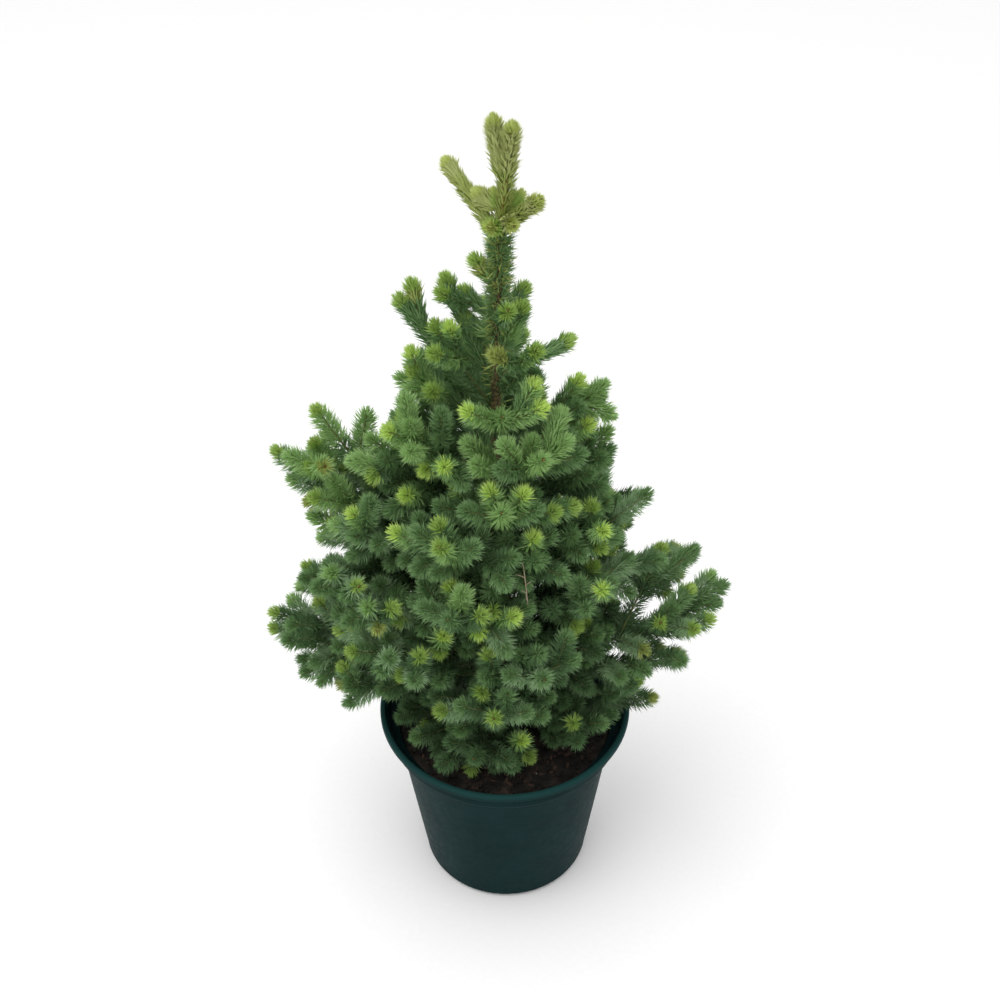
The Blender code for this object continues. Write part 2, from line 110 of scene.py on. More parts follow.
def per_mm(size):
    """The scale of a noise whose features are about this many millimetres wide."""
    return 1000.0 / size


def two_tone_finish(name, dark, light, size, detail, **values):
    """A material of two shades that pass into each other in patches of a size in millimetres."""
    material, tree, shader, place = new_finish(name, **values)
    patches = add_node(tree, "ShaderNodeTexNoise", {"Vector": place, "Scale": per_mm(size), "Detail": detail})
    tint = add_node(tree, "ShaderNodeMix", {0: patches.outputs["Fac"], 6: paint(dark), 7: paint(light)},
                    data_type='RGBA')
    tree.links.new(tint.outputs[2], shader.inputs["Base Color"])
    return material


# Matt coated board: an even off-white with a faint grain.
board = two_tone_finish("matt_white_board", "F4F4F2", "F8F8F7", BOARD_GRAIN_MM, 2.0, Roughness=0.9)

bpy.ops.object.select_all(action='DESELECT')
bpy.ops.mesh.primitive_plane_add(size=FLOOR_SIZE)
floor = bpy.context.object
floor.name = "studio_floor"
floor.data.materials.append(board)

room = bpy.data.worlds.new("white_room")
room.use_nodes = True
room.node_tree.nodes["Background"].inputs["Color"].default_value = paint("FCFCFD")
room.node_tree.nodes["Background"].inputs["Strength"].default_value = 1.0
bpy.context.scene.world = room
bpy.context.scene.view_settings.view_transform = 'Standard'

for name, spot, size, power in PANELS:
    lamp = bpy.data.lights.new(name, 'AREA')
    lamp.size = size
    lamp.energy = power
    panel = bpy.data.objects.new(name, lamp)
    bpy.context.scene.collection.objects.link(panel)
    panel.location = spot
    panel.rotation_mode = 'QUATERNION'
    panel.rotation_quaternion = (PANELS_FACE - Vector(spot)).to_track_quat('-Z', 'Y')


# Pot
# A tapered nursery pot of injection-moulded polypropylene, dyed dark blue-green: a rolled
# lip, a collar below it, a plain wall, and a rounded foot with a ring of drain holes.
POT_HEIGHT = 0.230
LIP_RADIUS = 0.140
LIP_HEIGHT = 0.008
LIP_WIDTH = 0.006
COLLAR_RADIUS = 0.1325
COLLAR_FOOT = 0.204
SHOULDER = 0.003
WALL_TOP_RADIUS = 0.1225
WALL_FOOT_RADIUS = 0.095
FOOT_ROUNDING = 0.009
WALL = 0.0026
UNDERSIDE_RECESS = 0.0012
RECESS_RADIUS = 0.074
DRAIN_HOLES = 6
DRAIN_RING_RADIUS = 0.058
DRAIN_RADIUS = 0.007
DRAIN_SIDES = 28
MIDDLE_RADIUS = 0.010
COLLAR_ROUNDING = 0.0035
COLLAR_SEAT = 0.0025
COLLAR_BULGE = 0.0004
LIP_NECK = 0.001
LIP_FOOT_ROUNDING = 0.0022
LIP_ROUNDING = 0.0028
LIP_INNER_ROUNDING = 0.0016
TURN_STEPS = 160
SMOOTH_BELOW = radians(35)


def wall_radius(height):
    """Outer radius of the pot's wall below its collar."""
    return WALL_FOOT_RADIUS + (WALL_TOP_RADIUS - WALL_FOOT_RADIUS) * height / COLLAR_FOOT


def arc(centre, radius, first, last, steps):
    """Points of radius and height along an arc, with its angles in degrees."""
    angles = [radians(first + (last - first) * step / steps) for step in range(steps + 1)]
    return [(centre[0] + radius * cos(angle), centre[1] + radius * sin(angle)) for angle in angles]


def turn_on_wheel(name, profile, steps):
    """Draws a ring at a time out of the one before, from a closed middle to a closed middle."""
    bpy.ops.object.select_all(action='DESELECT')
    radius, height = profile[0]
    bpy.ops.mesh.primitive_circle_add(vertices=steps, radius=radius, fill_type='TRIFAN',
                                      location=(0, 0, height))
    piece = bpy.context.object
    piece.name = name
    bpy.ops.object.mode_set(mode='EDIT')
    bpy.ops.mesh.select_mode(type='EDGE')
    bpy.ops.mesh.region_to_loop()
    for new_radius, new_height in profile[1:]:
        bpy.ops.mesh.extrude_region_move(TRANSFORM_OT_translate={"value": (0, 0, new_height - height)})
        share = new_radius / radius
        bpy.ops.transform.resize(value=(share, share, 1))
        radius, height = new_radius, new_height
    bpy.ops.mesh.merge(type='CENTER')
    bpy.ops.mesh.select_all(action='SELECT')
    bpy.ops.mesh.normals_make_consistent(inside=False)
    bpy.ops.object.mode_set(mode='OBJECT')
    bpy.ops.object.transform_apply(location=True, rotation=True, scale=True)
    return piece


lip_foot = POT_HEIGHT - LIP_HEIGHT
inner_collar = COLLAR_RADIUS - WALL
inner_foot = wall_radius(FOOT_ROUNDING) - WALL
foot_centre = (wall_radius(FOOT_ROUNDING) - FOOT_ROUNDING, FOOT_ROUNDING)
pot_profile = [(MIDDLE_RADIUS, UNDERSIDE_RECESS), (RECESS_RADIUS, UNDERSIDE_RECESS),
               (RECESS_RADIUS + UNDERSIDE_RECESS, 0)]
pot_profile += arc(foot_centre, FOOT_ROUNDING, -90, 0, 8)
pot_profile += [(wall_radius(COLLAR_FOOT * step / 8), COLLAR_FOOT * step / 8) for step in range(1, 8)]
pot_profile += [(wall_radius(COLLAR_FOOT), COLLAR_FOOT - SHOULDER)]
collar_under = (COLLAR_RADIUS - COLLAR_ROUNDING, COLLAR_FOOT + COLLAR_SEAT)
pot_profile += arc(collar_under, COLLAR_ROUNDING, -75, 0, 6)
pot_profile += [(COLLAR_RADIUS + COLLAR_BULGE, (COLLAR_FOOT + lip_foot) / 2),
                (COLLAR_RADIUS, lip_foot - LIP_NECK)]
lip_under = (LIP_RADIUS - LIP_FOOT_ROUNDING, lip_foot + LIP_FOOT_ROUNDING)
lip_over = (LIP_RADIUS - LIP_ROUNDING, POT_HEIGHT - LIP_ROUNDING)
lip_inside = (LIP_RADIUS - LIP_WIDTH + LIP_INNER_ROUNDING, POT_HEIGHT - LIP_INNER_ROUNDING)
pot_profile += arc(lip_under, LIP_FOOT_ROUNDING, -100, 0, 6)
pot_profile += arc(lip_over, LIP_ROUNDING, 0, 90, 6)
pot_profile += arc(lip_inside, LIP_INNER_ROUNDING, 100, 180, 5)
pot_profile += [(inner_collar, lip_foot + LIP_NECK), (inner_collar, COLLAR_FOOT + SHOULDER + WALL)]
pot_profile += [(wall_radius(COLLAR_FOOT) - WALL, COLLAR_FOOT + SHOULDER), (inner_foot, FOOT_ROUNDING)]
pot_profile += [(wall_radius(0) - WALL - FOOT_ROUNDING / 2, WALL), (MIDDLE_RADIUS, WALL)]
pot = turn_on_wheel("nursery_pot", pot_profile, TURN_STEPS)

for hole in range(DRAIN_HOLES):
    angle = 2 * pi * hole / DRAIN_HOLES
    bpy.ops.object.select_all(action='DESELECT')
    spot = (DRAIN_RING_RADIUS * cos(angle), DRAIN_RING_RADIUS * sin(angle), WALL / 2)
    bpy.ops.mesh.primitive_cylinder_add(vertices=DRAIN_SIDES, radius=DRAIN_RADIUS, depth=0.02, location=spot)
    punch = bpy.context.object
    cut = pot.modifiers.new("drain_hole", 'BOOLEAN')
    cut.object = punch
    bpy.context.view_layer.objects.active = pot
    bpy.ops.object.modifier_apply(modifier=cut.name)
    bpy.data.objects.remove(punch, do_unlink=True)
bpy.ops.object.select_all(action='DESELECT')
pot.select_set(True)
bpy.context.view_layer.objects.active = pot
bpy.ops.object.shade_smooth_by_angle(angle=SMOOTH_BELOW)

# Moulded polypropylene, matt from the mould's fine grain, with a duller bloom where dust and lime have dried
# on it, and a lip painted paler towards its top as a painted highlight.
GRAIN_MM = 1.1
BLOOM_MM = 45.0
SCUFF_MM = 9.0
plastic, tree, shader, place = new_finish("moulded_polypropylene", IOR=1.49, Specular_IOR_Level=0.03)
bloom = add_node(tree, "ShaderNodeTexNoise",
                 {"Vector": place, "Scale": per_mm(BLOOM_MM), "Detail": 5.0, "Roughness": 0.62})
scuffs = add_node(tree, "ShaderNodeTexNoise",
                  {"Vector": place, "Scale": per_mm(SCUFF_MM), "Detail": 8.0, "Roughness": 0.7,
                   "Distortion": 0.8})
grain = add_node(tree, "ShaderNodeTexNoise", {"Vector": place, "Scale": per_mm(GRAIN_MM), "Detail": 2.0})
bloom_share = add_node(tree, "ShaderNodeMapRange",
                       {"Value": bloom.outputs["Fac"], "From Min": 0.35, "From Max": 0.75})
scuff_share = add_node(tree, "ShaderNodeMapRange",
                       {"Value": scuffs.outputs["Fac"], "From Min": 0.58, "From Max": 0.80, "To Max": 0.5})
dyed = add_node(tree, "ShaderNodeMix", {0: bloom_share.outputs[0], 6: paint("0A2223"), 7: paint("0F2A2B")},
                data_type='RGBA')
dusty = add_node(tree, "ShaderNodeMix", {0: scuff_share.outputs[0], 6: dyed.outputs[2], 7: paint("1F3A39")},
                 data_type='RGBA')
sides = add_node(tree, "ShaderNodeSeparateXYZ", {"Vector": place})
# Painted highlight: the lip turns paler towards its top, where the light falls on it.
lip_highlight_share = add_node(tree, "ShaderNodeMapRange",
                     {"Value": sides.outputs["Z"], "From Min": lip_foot + LIP_NECK, "From Max": POT_HEIGHT,
                      "To Max": 0.55})
lip_highlight = add_node(tree, "ShaderNodeMix", {0: lip_highlight_share.outputs[0], 6: dusty.outputs[2], 7: paint("234845")},
                data_type='RGBA')
tree.links.new(lip_highlight.outputs[2], shader.inputs["Base Color"])
dulled = add_node(tree, "ShaderNodeMapRange",
                  {"Value": scuffs.outputs["Fac"], "From Min": 0.3, "From Max": 0.8, "To Min": 0.38,
                   "To Max": 0.62})
tree.links.new(dulled.outputs[0], shader.inputs["Roughness"])
relief = add_node(tree, "ShaderNodeBump", {"Height": grain.outputs["Fac"], "Strength": 0.25,
                                           "Distance": 0.0004})
tree.links.new(relief.outputs[0], shader.inputs["Normal"])
pot.data.materials.append(plastic)
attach(pot, "root")
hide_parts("pot")


# Potting soil
# Damp peat and bark compost, filled to a finger's width below the lip, as one body with a
# lumpy top. It is turned like the pot, and its top is then raised by two noises.
SOIL_TOP = POT_HEIGHT - 0.026
SOIL_RISE = 0.006
SOIL_GAP = 0.0006
SOIL_EDGE_DROP = 0.003
SOIL_LOW = 0.002
MOUND_RADIUS = 0.115
SOIL_RINGS = 46
LUMP_SIZE = 0.022
LUMP_HEIGHT = 0.0060
CRUMB_SIZE = 0.0045
CRUMB_HEIGHT = 0.0028


def inner_radius(height):
    """Inner radius of the pot between its rounded foot and its shoulder."""
    foot = wall_radius(FOOT_ROUNDING)
    share = (height - FOOT_ROUNDING) / (COLLAR_FOOT + SHOULDER - FOOT_ROUNDING)
    return foot + (wall_radius(COLLAR_FOOT) - foot) * share - WALL


def soil_height(radius):
    """The mound's height over the radius, before its lumps."""
    mound = max(0.0, cos(pi / 2 * min(radius / MOUND_RADIUS, 1))) ** 0.8
    return SOIL_TOP - SOIL_LOW + (SOIL_RISE + SOIL_LOW) * mound


soil_edge = inner_radius(SOIL_TOP - SOIL_EDGE_DROP) - SOIL_GAP
soil_profile = [(MIDDLE_RADIUS, WALL + SOIL_GAP),
                (wall_radius(0) - WALL - FOOT_ROUNDING / 2 - SOIL_GAP, WALL + SOIL_GAP),
                (inner_radius(FOOT_ROUNDING) - SOIL_GAP, FOOT_ROUNDING),
                (soil_edge, SOIL_TOP - SOIL_EDGE_DROP)]
for ring in range(SOIL_RINGS):
    radius = soil_edge * (1 - (ring + 0.5) / (SOIL_RINGS + 1))
    soil_profile.append((radius, soil_height(radius)))
soil = turn_on_wheel("potting_soil", soil_profile, TURN_STEPS)
top = soil.vertex_groups.new(name="top")
for vert in soil.data.vertices:
    if vert.co.z > SOIL_TOP - 0.0025:
        top.add([vert.index], 1.0, 'REPLACE')
for name, size, lift in (("lumps", LUMP_SIZE, LUMP_HEIGHT), ("crumbs", CRUMB_SIZE, CRUMB_HEIGHT)):
    swell = bpy.data.textures.new(name, 'CLOUDS')
    swell.noise_scale = size
    swell.noise_depth = 3
    raised = soil.modifiers.new(name, 'DISPLACE')
    raised.texture = swell
    raised.strength = lift
    raised.mid_level = 0.5
    raised.direction = 'Z'
    raised.vertex_group = "top"
    bpy.ops.object.modifier_apply(modifier=raised.name)
bpy.ops.object.shade_smooth()

# Damp compost: near-black peat with browner bark fibre through it, matt, a little shiny
# where it is wet.
FIBRE_MM = 3.0
CLOD_MM = 14.0
compost, tree, shader, place = new_finish("damp_peat_compost", IOR=1.4)
fibre = add_node(tree, "ShaderNodeTexNoise",
                 {"Vector": place, "Scale": per_mm(FIBRE_MM), "Detail": 8.0, "Roughness": 0.75})
clods = add_node(tree, "ShaderNodeTexVoronoi", {"Vector": place, "Scale": per_mm(CLOD_MM)})
mixed = add_node(tree, "ShaderNodeMath", {0: fibre.outputs["Fac"], 1: clods.outputs["Distance"]},
                 operation='MULTIPLY')
peat = add_node(tree, "ShaderNodeValToRGB", {"Fac": mixed.outputs[0]})
peat.color_ramp.elements[0].color = paint("100E0C")
peat.color_ramp.elements[1].color = paint("3E342A")
peat.color_ramp.elements[1].position = 0.55
middle = peat.color_ramp.elements.new(0.25)
middle.color = paint("1E1A16")
tree.links.new(peat.outputs["Color"], shader.inputs["Base Color"])
damp = add_node(tree, "ShaderNodeMapRange", {"Value": fibre.outputs["Fac"], "To Min": 0.62, "To Max": 0.95})
tree.links.new(damp.outputs[0], shader.inputs["Roughness"])
relief = add_node(tree, "ShaderNodeBump", {"Height": fibre.outputs["Fac"], "Strength": 0.9,
                                           "Distance": 0.0012})
tree.links.new(relief.outputs[0], shader.inputs["Normal"])
soil.data.materials.append(compost)
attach(soil, "root")
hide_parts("soil")


# Loose bits on the soil
# Lumps of peat, chips of composted bark and a few pale grains of perlite, scattered over
# the mound. Each is a small block of twelve faces, knocked out of square.
SCATTER_SEED = 5
SCATTER_SIZES = (0.45, 1.0)
BLOCK = np.array([(x, y, z) for x in (-1, 1) for y in (-1, 1) for z in (-1, 1)], float)
BLOCK_FACES = np.array([(0, 1, 3), (0, 3, 2), (4, 6, 7), (4, 7, 5), (0, 4, 5), (0, 5, 1),
                        (2, 3, 7), (2, 7, 6), (0, 2, 6), (0, 6, 4), (1, 5, 7), (1, 7, 3)])


def mesh_piece(name, verts, faces, material, smooth=False):
    """A piece made as one joined mesh from arrays of corners and triangles."""
    mesh = bpy.data.meshes.new(name)
    mesh.vertices.add(len(verts))
    mesh.vertices.foreach_set("co", np.asarray(verts, np.float32).ravel())
    mesh.loops.add(3 * len(faces))
    mesh.loops.foreach_set("vertex_index", np.asarray(faces, np.int32).ravel())
    mesh.polygons.add(len(faces))
    mesh.polygons.foreach_set("loop_start", np.arange(0, 3 * len(faces), 3, dtype=np.int32))
    mesh.update(calc_edges=True)
    if smooth:
        mesh.shade_smooth()
    else:
        mesh.shade_flat()
    mesh.materials.append(material)
    piece = bpy.data.objects.new(name, mesh)
    bpy.context.scene.collection.objects.link(piece)
    return piece


def ground_at(x, y):
    """The height of the finished soil under a spot."""
    hit, spot = soil.ray_cast(Vector((x, y, POT_HEIGHT)), Vector((0, 0, -1)))[:2]
    return spot.z if hit else SOIL_TOP


def scatter(name, count, size, jitter, sunk, material, dice):
    """Blocks of one kind strewn over the soil, each turned and knocked out of square."""
    verts = []
    for number in range(count):
        radius = (soil_edge - max(size)) * dice.random() ** 0.5
        angle = dice.uniform(0, 2 * pi)
        x, y = radius * cos(angle), radius * sin(angle)
        scale = dice.uniform(*SCATTER_SIZES)
        turn = Euler((dice.uniform(-0.5, 0.5), dice.uniform(-0.5, 0.5), dice.uniform(0, 2 * pi))).to_matrix()
        corners = BLOCK * (np.array(size) / 2 * scale)
        corners *= 1 + jitter * np.array([[dice.uniform(-1, 1) for axis in range(3)] for corner in range(8)])
        lift = size[2] * scale * (0.5 - sunk)
        verts.append(corners @ np.array(turn).T + (x, y, ground_at(x, y) + lift))
    faces = (BLOCK_FACES[None] + 8 * np.arange(count)[:, None, None]).reshape(-1, 3)
    return mesh_piece(name, np.concatenate(verts), faces, material)


# Composted bark: dull red-brown chips, grey where they have dried.
chip_bark = two_tone_finish("composted_bark", "1F1612", "5A4333", 4.0, 5.0, Roughness=0.88)

# Perlite: chalky white grains of blown volcanic glass, grey with the peat's dust.
perlite = two_tone_finish("dusty_perlite", "6E6459", "B9B0A2", 2.0, 3.0, Roughness=0.92)

# Each kind's name, count, size, jitter, the share of it that is sunk, and what it is.
KINDS = (("peat_lumps", 1500, (0.0042, 0.0034, 0.0030), 0.42, 0.25, compost),
         ("bark_chips", 260, (0.0085, 0.0036, 0.0014), 0.30, 0.10, chip_bark),
         ("perlite_grains", 46, (0.0030, 0.0028, 0.0024), 0.35, 0.15, perlite))
dice = random.Random(SCATTER_SEED)
for kind in KINDS:
    piece = scatter(*kind, dice)
    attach(piece, "root")


# Trunk
# One straight stem with a slight sway, flaring to its roots at the soil, of scaly brown
# bark. A cylinder is cut into rings that are set along the stem, and noise lifts scales.
GROUND = SOIL_TOP + SOIL_RISE - POT_HEIGHT
TRUNK_TOP = 0.578
TRUNK_SWAY = 0.007
TRUNK_SIDE_SWAY = 0.002
TRUNK_FOOT_RADIUS = 0.0115
TRUNK_TOP_RADIUS = 0.0030
TRUNK_TAPER = 0.8
FLARE = 0.007
FLARE_HEIGHT = 0.022
FLARE_LOBES = 5
FLARE_LOBE_SHARE = 0.28
TRUNK_SIDES = 56
TRUNK_RINGS = 330
TRUNK_SUNK = 0.008
SCALE_SIZE = 0.0050
SCALE_LIFT = 0.0009
SCALE_STRETCH = 1.6
SCALE_CRACK = 0.2
FLUTING = 0.5


def trunk_centre(height):
    """The trunk's axis at a height above the rim, with its slight sway."""
    share = (height - GROUND) / (TRUNK_TOP - GROUND)
    sway = -TRUNK_SWAY * sin(pi * share)
    return Vector((sway, TRUNK_SIDE_SWAY * sin(2 * pi * share), POT_HEIGHT + height))


def trunk_radius(height, angle=0):
    """The trunk's radius, with the lobes of its root flare in the direction of an angle."""
    share = max(height - GROUND, 0) / (TRUNK_TOP - GROUND)
    radius = TRUNK_FOOT_RADIUS + (TRUNK_TOP_RADIUS - TRUNK_FOOT_RADIUS) * share ** TRUNK_TAPER
    flare = FLARE * max(1 - (height - GROUND) / FLARE_HEIGHT, 0) ** 2
    return radius + flare * (1 - FLARE_LOBE_SHARE * (1 - cos(FLARE_LOBES * angle)))


bpy.ops.object.select_all(action='DESELECT')
bpy.ops.mesh.primitive_cylinder_add(vertices=TRUNK_SIDES, radius=1, depth=1)
trunk = bpy.context.object
trunk.name = "spruce_trunk"
bpy.ops.object.mode_set(mode='EDIT')
bpy.ops.mesh.select_all(action='DESELECT')
bpy.ops.object.mode_set(mode='OBJECT')
for edge in trunk.data.edges:
    ends = [trunk.data.vertices[index].co.z for index in edge.vertices]
    edge.select = abs(ends[0] - ends[1]) > 0.5
bpy.ops.object.mode_set(mode='EDIT')
bpy.ops.mesh.select_mode(type='EDGE')
bpy.ops.mesh.subdivide(number_cuts=TRUNK_RINGS)
bpy.ops.object.mode_set(mode='OBJECT')
trunk_foot = GROUND - TRUNK_SUNK
for vert in trunk.data.vertices:
    height = trunk_foot + (TRUNK_TOP - trunk_foot) * (vert.co.z + 0.5)
    angle = atan2(vert.co.y, vert.co.x)
    radius = trunk_radius(max(height, GROUND), angle)
    spot = Vector((radius * cos(angle) / SCALE_SIZE, radius * sin(angle) / SCALE_SIZE,
                   height / (SCALE_STRETCH * SCALE_SIZE)))
    plates = noise.voronoi(spot)[0]
    scales = min(plates[1] - plates[0], 0.5) - SCALE_CRACK
    fluting = noise.noise(spot * 0.3) * FLUTING
    lift = SCALE_LIFT * (scales + fluting) * radius / TRUNK_FOOT_RADIUS
    vert.co = trunk_centre(height) + Vector((cos(angle), sin(angle), 0)) * (radius + lift)
bpy.ops.object.shade_smooth()

# Young spruce bark: thin papery scales, ochre brown on the edges, darker and greener with
# algae in the cracks between them.
BARK_PATCH_MM = 11.0
BARK_SCALE_MM = 3.2
bark, tree, shader, place = new_finish("scaly_spruce_bark", IOR=1.45)
patches = add_node(tree, "ShaderNodeTexNoise",
                   {"Vector": place, "Scale": per_mm(BARK_PATCH_MM), "Detail": 4.0})
scales = add_node(tree, "ShaderNodeTexVoronoi", {"Vector": place, "Scale": per_mm(BARK_SCALE_MM)})
ochre = add_node(tree, "ShaderNodeMix", {0: patches.outputs["Fac"], 6: paint("6E5A3C"), 7: paint("8C7A50")},
                 data_type='RGBA')
crack_share = add_node(tree, "ShaderNodeMapRange",
                       {"Value": scales.outputs["Distance"], "From Min": 0.35, "From Max": 0.8})
cracked = add_node(tree, "ShaderNodeMix", {0: crack_share.outputs[0], 6: ochre.outputs[2],
                                           7: paint("3A3826")}, data_type='RGBA')
tree.links.new(cracked.outputs[2], shader.inputs["Base Color"])
dulled = add_node(tree, "ShaderNodeMapRange",
                  {"Value": patches.outputs["Fac"], "To Min": 0.72, "To Max": 0.95})
tree.links.new(dulled.outputs[0], shader.inputs["Roughness"])
relief = add_node(tree, "ShaderNodeBump", {"Height": scales.outputs["Distance"], "Strength": 0.6,
                                           "Distance": 0.0006})
relief.invert = True
tree.links.new(relief.outputs[0], shader.inputs["Normal"])
trunk.data.materials.append(bark)
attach(trunk, "root")
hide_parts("trunk")


# Growth
# How the tree branches. Boughs stand in whorls, one for each year, and carry pairs of side
# shoots in a flat fan. Finer shoots then fill the fans, wherever they find room.

# Each whorl's height above the rim, the bearing of its first bough, the reach of each
# bough, how steeply they rise, and how far they hang.
WHORLS = (
    (0.000, 254, (0.122, 0.128, 0.130, 0.140, 0.145), 0.30, 0.10),
    (0.048, 180, (0.242, 0.148, 0.125, 0.150), 0.54, 0.10),
    (0.096, 358, (0.236, 0.155, 0.160, 0.180, 0.150), 0.54, 0.10),
    (0.157, 181, (0.197, 0.150, 0.155, 0.166, 0.150), 0.66, 0.10),
    (0.217, 161, (0.194, 0.140, 0.148, 0.135), 0.84, 0.10),
    (0.276, 183, (0.120, 0.115, 0.112, 0.112), 0.75, 0.08),
    (0.330, 205, (0.112, 0.108, 0.108, 0.104), 0.74, 0.08),
    (0.382, 185, (0.078, 0.085, 0.070, 0.080), 0.82, 0.06),
    (0.440, 182, (0.084, 0.076, 0.053), 0.86, 0.05),
    (0.494, 160, (0.052, 0.048, 0.036), 0.80, 0.04),
)
UP = Vector((0, 0, 1))
ROOT_GAP = 0.0003
LIMBED_WHORLS = 3
BEARING_JITTER = 5
HANG_SHARE = 0.5
FLAT_REACH = 0.150
FLAT_STEEPNESS = 0.03
WIDE_REACH = 0.19
BARE_SHARE = 0.26
LIMB_RADIUS = 0.0048
YEAR_GROWTH = 0.043
YEAR_VARIATION = (0.9, 1.1)
LAST_YEAR_VARIATION = (0.85, 1.05)
LOWEST_SIDE = 0.022
LOWEST_SIDE_PAST_LIMB = 0.008
SIDE_ANGLE = 47
SIDE_ANGLE_JITTER = 7
SIDE_SHARE = 0.62
SIDE_EXTRA = 0.022
SIDE_VARIATION = (0.86, 1.08)
SIDE_HANG = 0.04
SIDE_LONGEST = 0.085
WIDE_SIDE_SHARE = 0.80
WIDE_SIDE_LONGEST = 0.128
SHORTEST_SHOOT = 0.026
SIDE_TILT = (0.0, 0.28)
WIDE_SIDE_TILT = (-0.04, 0.14)
LEAST_SPACING = 0.020
SHORTENINGS = (1.0, 0.82, 0.66)
NEEDLE_REACH = 0.0160
LEADER_TIP = Vector((0.0112, -0.006, 0.681))
TWIN_TIP = Vector((-0.0042, 0.004, 0.683))
TWIN_ROOT = 0.618
CROWN_WHORL = 0.600
HEADING_STEP = 0.02
NEAREST_STEPS = 6
TRUNK_STEPS = 10

# The last whorl's shoots: bearing, reach, rise, and how far down the leader each one roots.
CROWN_SHOOTS = ((145, 0.058, 0.033, 0.026), (325, 0.037, 0.022, 0.010), (250, 0.030, 0.002, 0.012),
                (35, 0.019, 0.012, 0.000))


class Shoot:
    """A length of twig from its root to its tip, hanging a little between them."""

    def __init__(self, root, tip, sag=0.0, start=0.0, order=0):
        self.root = root
        self.tip = tip
        self.sag = sag
        self.start = start
        self.order = order
        self.bones = (self.point(start), self.point((1 + start) / 2), tip)

    def point(self, share):
        hang = self.sag * 4 * share * (1 - share)
        return self.root.lerp(self.tip, share) - UP * hang

    def heading(self, share):
        ahead, behind = min(share + HEADING_STEP, 1), max(share - HEADING_STEP, 0)
        return (self.point(ahead) - self.point(behind)).normalized()

    def length(self):
        return (self.tip - self.root).length


def bough_rows():
    """Every bough of the whorls, as its name, whorl number, main shoot and dice."""
    rows = []
    for number, (height, first, reaches, steepness, hang) in enumerate(WHORLS, start=1):
        for place, reach in enumerate(reaches):
            dice = random.Random(number * 10 + place)
            bearing = radians(first + 360 * place / len(reaches) + dice.uniform(-1, 1) * BEARING_JITTER)
            heading = Vector((cos(bearing), sin(bearing), 0))
            centre = trunk_centre(height)
            root = centre + heading * (trunk_radius(height - LIMB_RADIUS) + ROOT_GAP)
            rise = steepness * min(reach, FLAT_REACH) + FLAT_STEEPNESS * max(reach - FLAT_REACH, 0)
            tip = centre + heading * reach + UP * rise
            start = BARE_SHARE if number <= LIMBED_WHORLS else 0.0
            shoot = Shoot(root, tip, hang * reach * HANG_SHARE, start)
            rows.append((f"{number}{'abcde'[place]}", number, shoot, dice))
    return rows


def side_shoots(main, wide, dice):
    """Pairs of shoots that leave the main one at each year's growth, in its own flat fan."""
    share_of_rest = WIDE_SIDE_SHARE if wide else SIDE_SHARE
    longest = WIDE_SIDE_LONGEST if wide else SIDE_LONGEST
    length = main.length()
    found = []
    lowest = max(main.start * length + LOWEST_SIDE_PAST_LIMB, LOWEST_SIDE)
    rest = YEAR_GROWTH * dice.uniform(*LAST_YEAR_VARIATION)
    while length - rest > lowest:
        share = 1 - rest / length
        root = main.point(share)
        tangent = main.heading(share)
        aside = tangent.cross(UP).normalized()
        lift = aside.cross(tangent)
        for side in (-1, 1):
            angle = radians(SIDE_ANGLE + dice.uniform(-SIDE_ANGLE_JITTER, SIDE_ANGLE_JITTER))
            tilt = dice.uniform(*(WIDE_SIDE_TILT if wide else SIDE_TILT))
            reach = min(share_of_rest * rest + SIDE_EXTRA, longest) * dice.uniform(*SIDE_VARIATION)
            heading = (tangent * cos(angle) + aside * side * sin(angle) + lift * tilt).normalized()
            tip = root + heading * reach
            found.append(Shoot(root, tip, sag=reach * SIDE_HANG, order=1))
        rest += YEAR_GROWTH * dice.uniform(*YEAR_VARIATION)
    return found


def on_line(spot, start, end):
    """The point of a straight piece that lies nearest to a spot."""
    share = intersect_point_line(spot, start, end)[1]
    return start.lerp(end, min(max(share, 0), 1))


def distance_to(shoot, spot):
    """The distance of a spot from a shoot's axis, taken as two straight pieces."""
    pieces = zip(shoot.bones, shoot.bones[1:])
    return min((spot - on_line(spot, start, end)).length for start, end in pieces)


def nearest(first, second):
    """The least distance between the axes of two shoots."""
    least = 1.0
    for one, other in ((first, second), (second, first)):
        for start, end in zip(one.bones, one.bones[1:]):
            for step in range(NEAREST_STEPS + 1):
                least = min(least, distance_to(other, start.lerp(end, step / NEAREST_STEPS)))
    return least


def trunk_clearance(shoot):
    """How far a shoot's axis stays from the trunk's bark."""
    least = 1.0
    for step in range(1, TRUNK_STEPS + 1):
        spot = shoot.point(step / TRUNK_STEPS)
        height = min(max(spot.z - POT_HEIGHT, GROUND), TRUNK_TOP)
        least = min(least, (spot - trunk_centre(height)).length - trunk_radius(height))
    return least


def has_room(trial, strangers):
    """Whether a side shoot is worth growing and stays clear of trunk and other masses."""
    if trial.length() < SHORTEST_SHOOT or trunk_clearance(trial) < NEEDLE_REACH:
        return False
    return min(nearest(trial, other) for other in strangers) > LEAST_SPACING


def leader_shoots():
    """The top of the tree: a twin-tipped leader and the last whorl's short shoots."""
    rim = Vector((0, 0, POT_HEIGHT))
    leader = Shoot(trunk_centre(TRUNK_TOP) + UP * ROOT_GAP, rim + LEADER_TIP)
    rise = LEADER_TIP.z - TRUNK_TOP
    fork = leader.point((TWIN_ROOT - TRUNK_TOP) / rise)
    whorl = leader.point((CROWN_WHORL - TRUNK_TOP) / rise)
    shoots = [leader, Shoot(fork, rim + TWIN_TIP)]
    for bearing, reach, lift, drop in CROWN_SHOOTS:
        angle = radians(bearing)
        tip = whorl + Vector((reach * cos(angle), reach * sin(angle), lift))
        shoots.append(Shoot(whorl - UP * drop, tip))
    return shoots


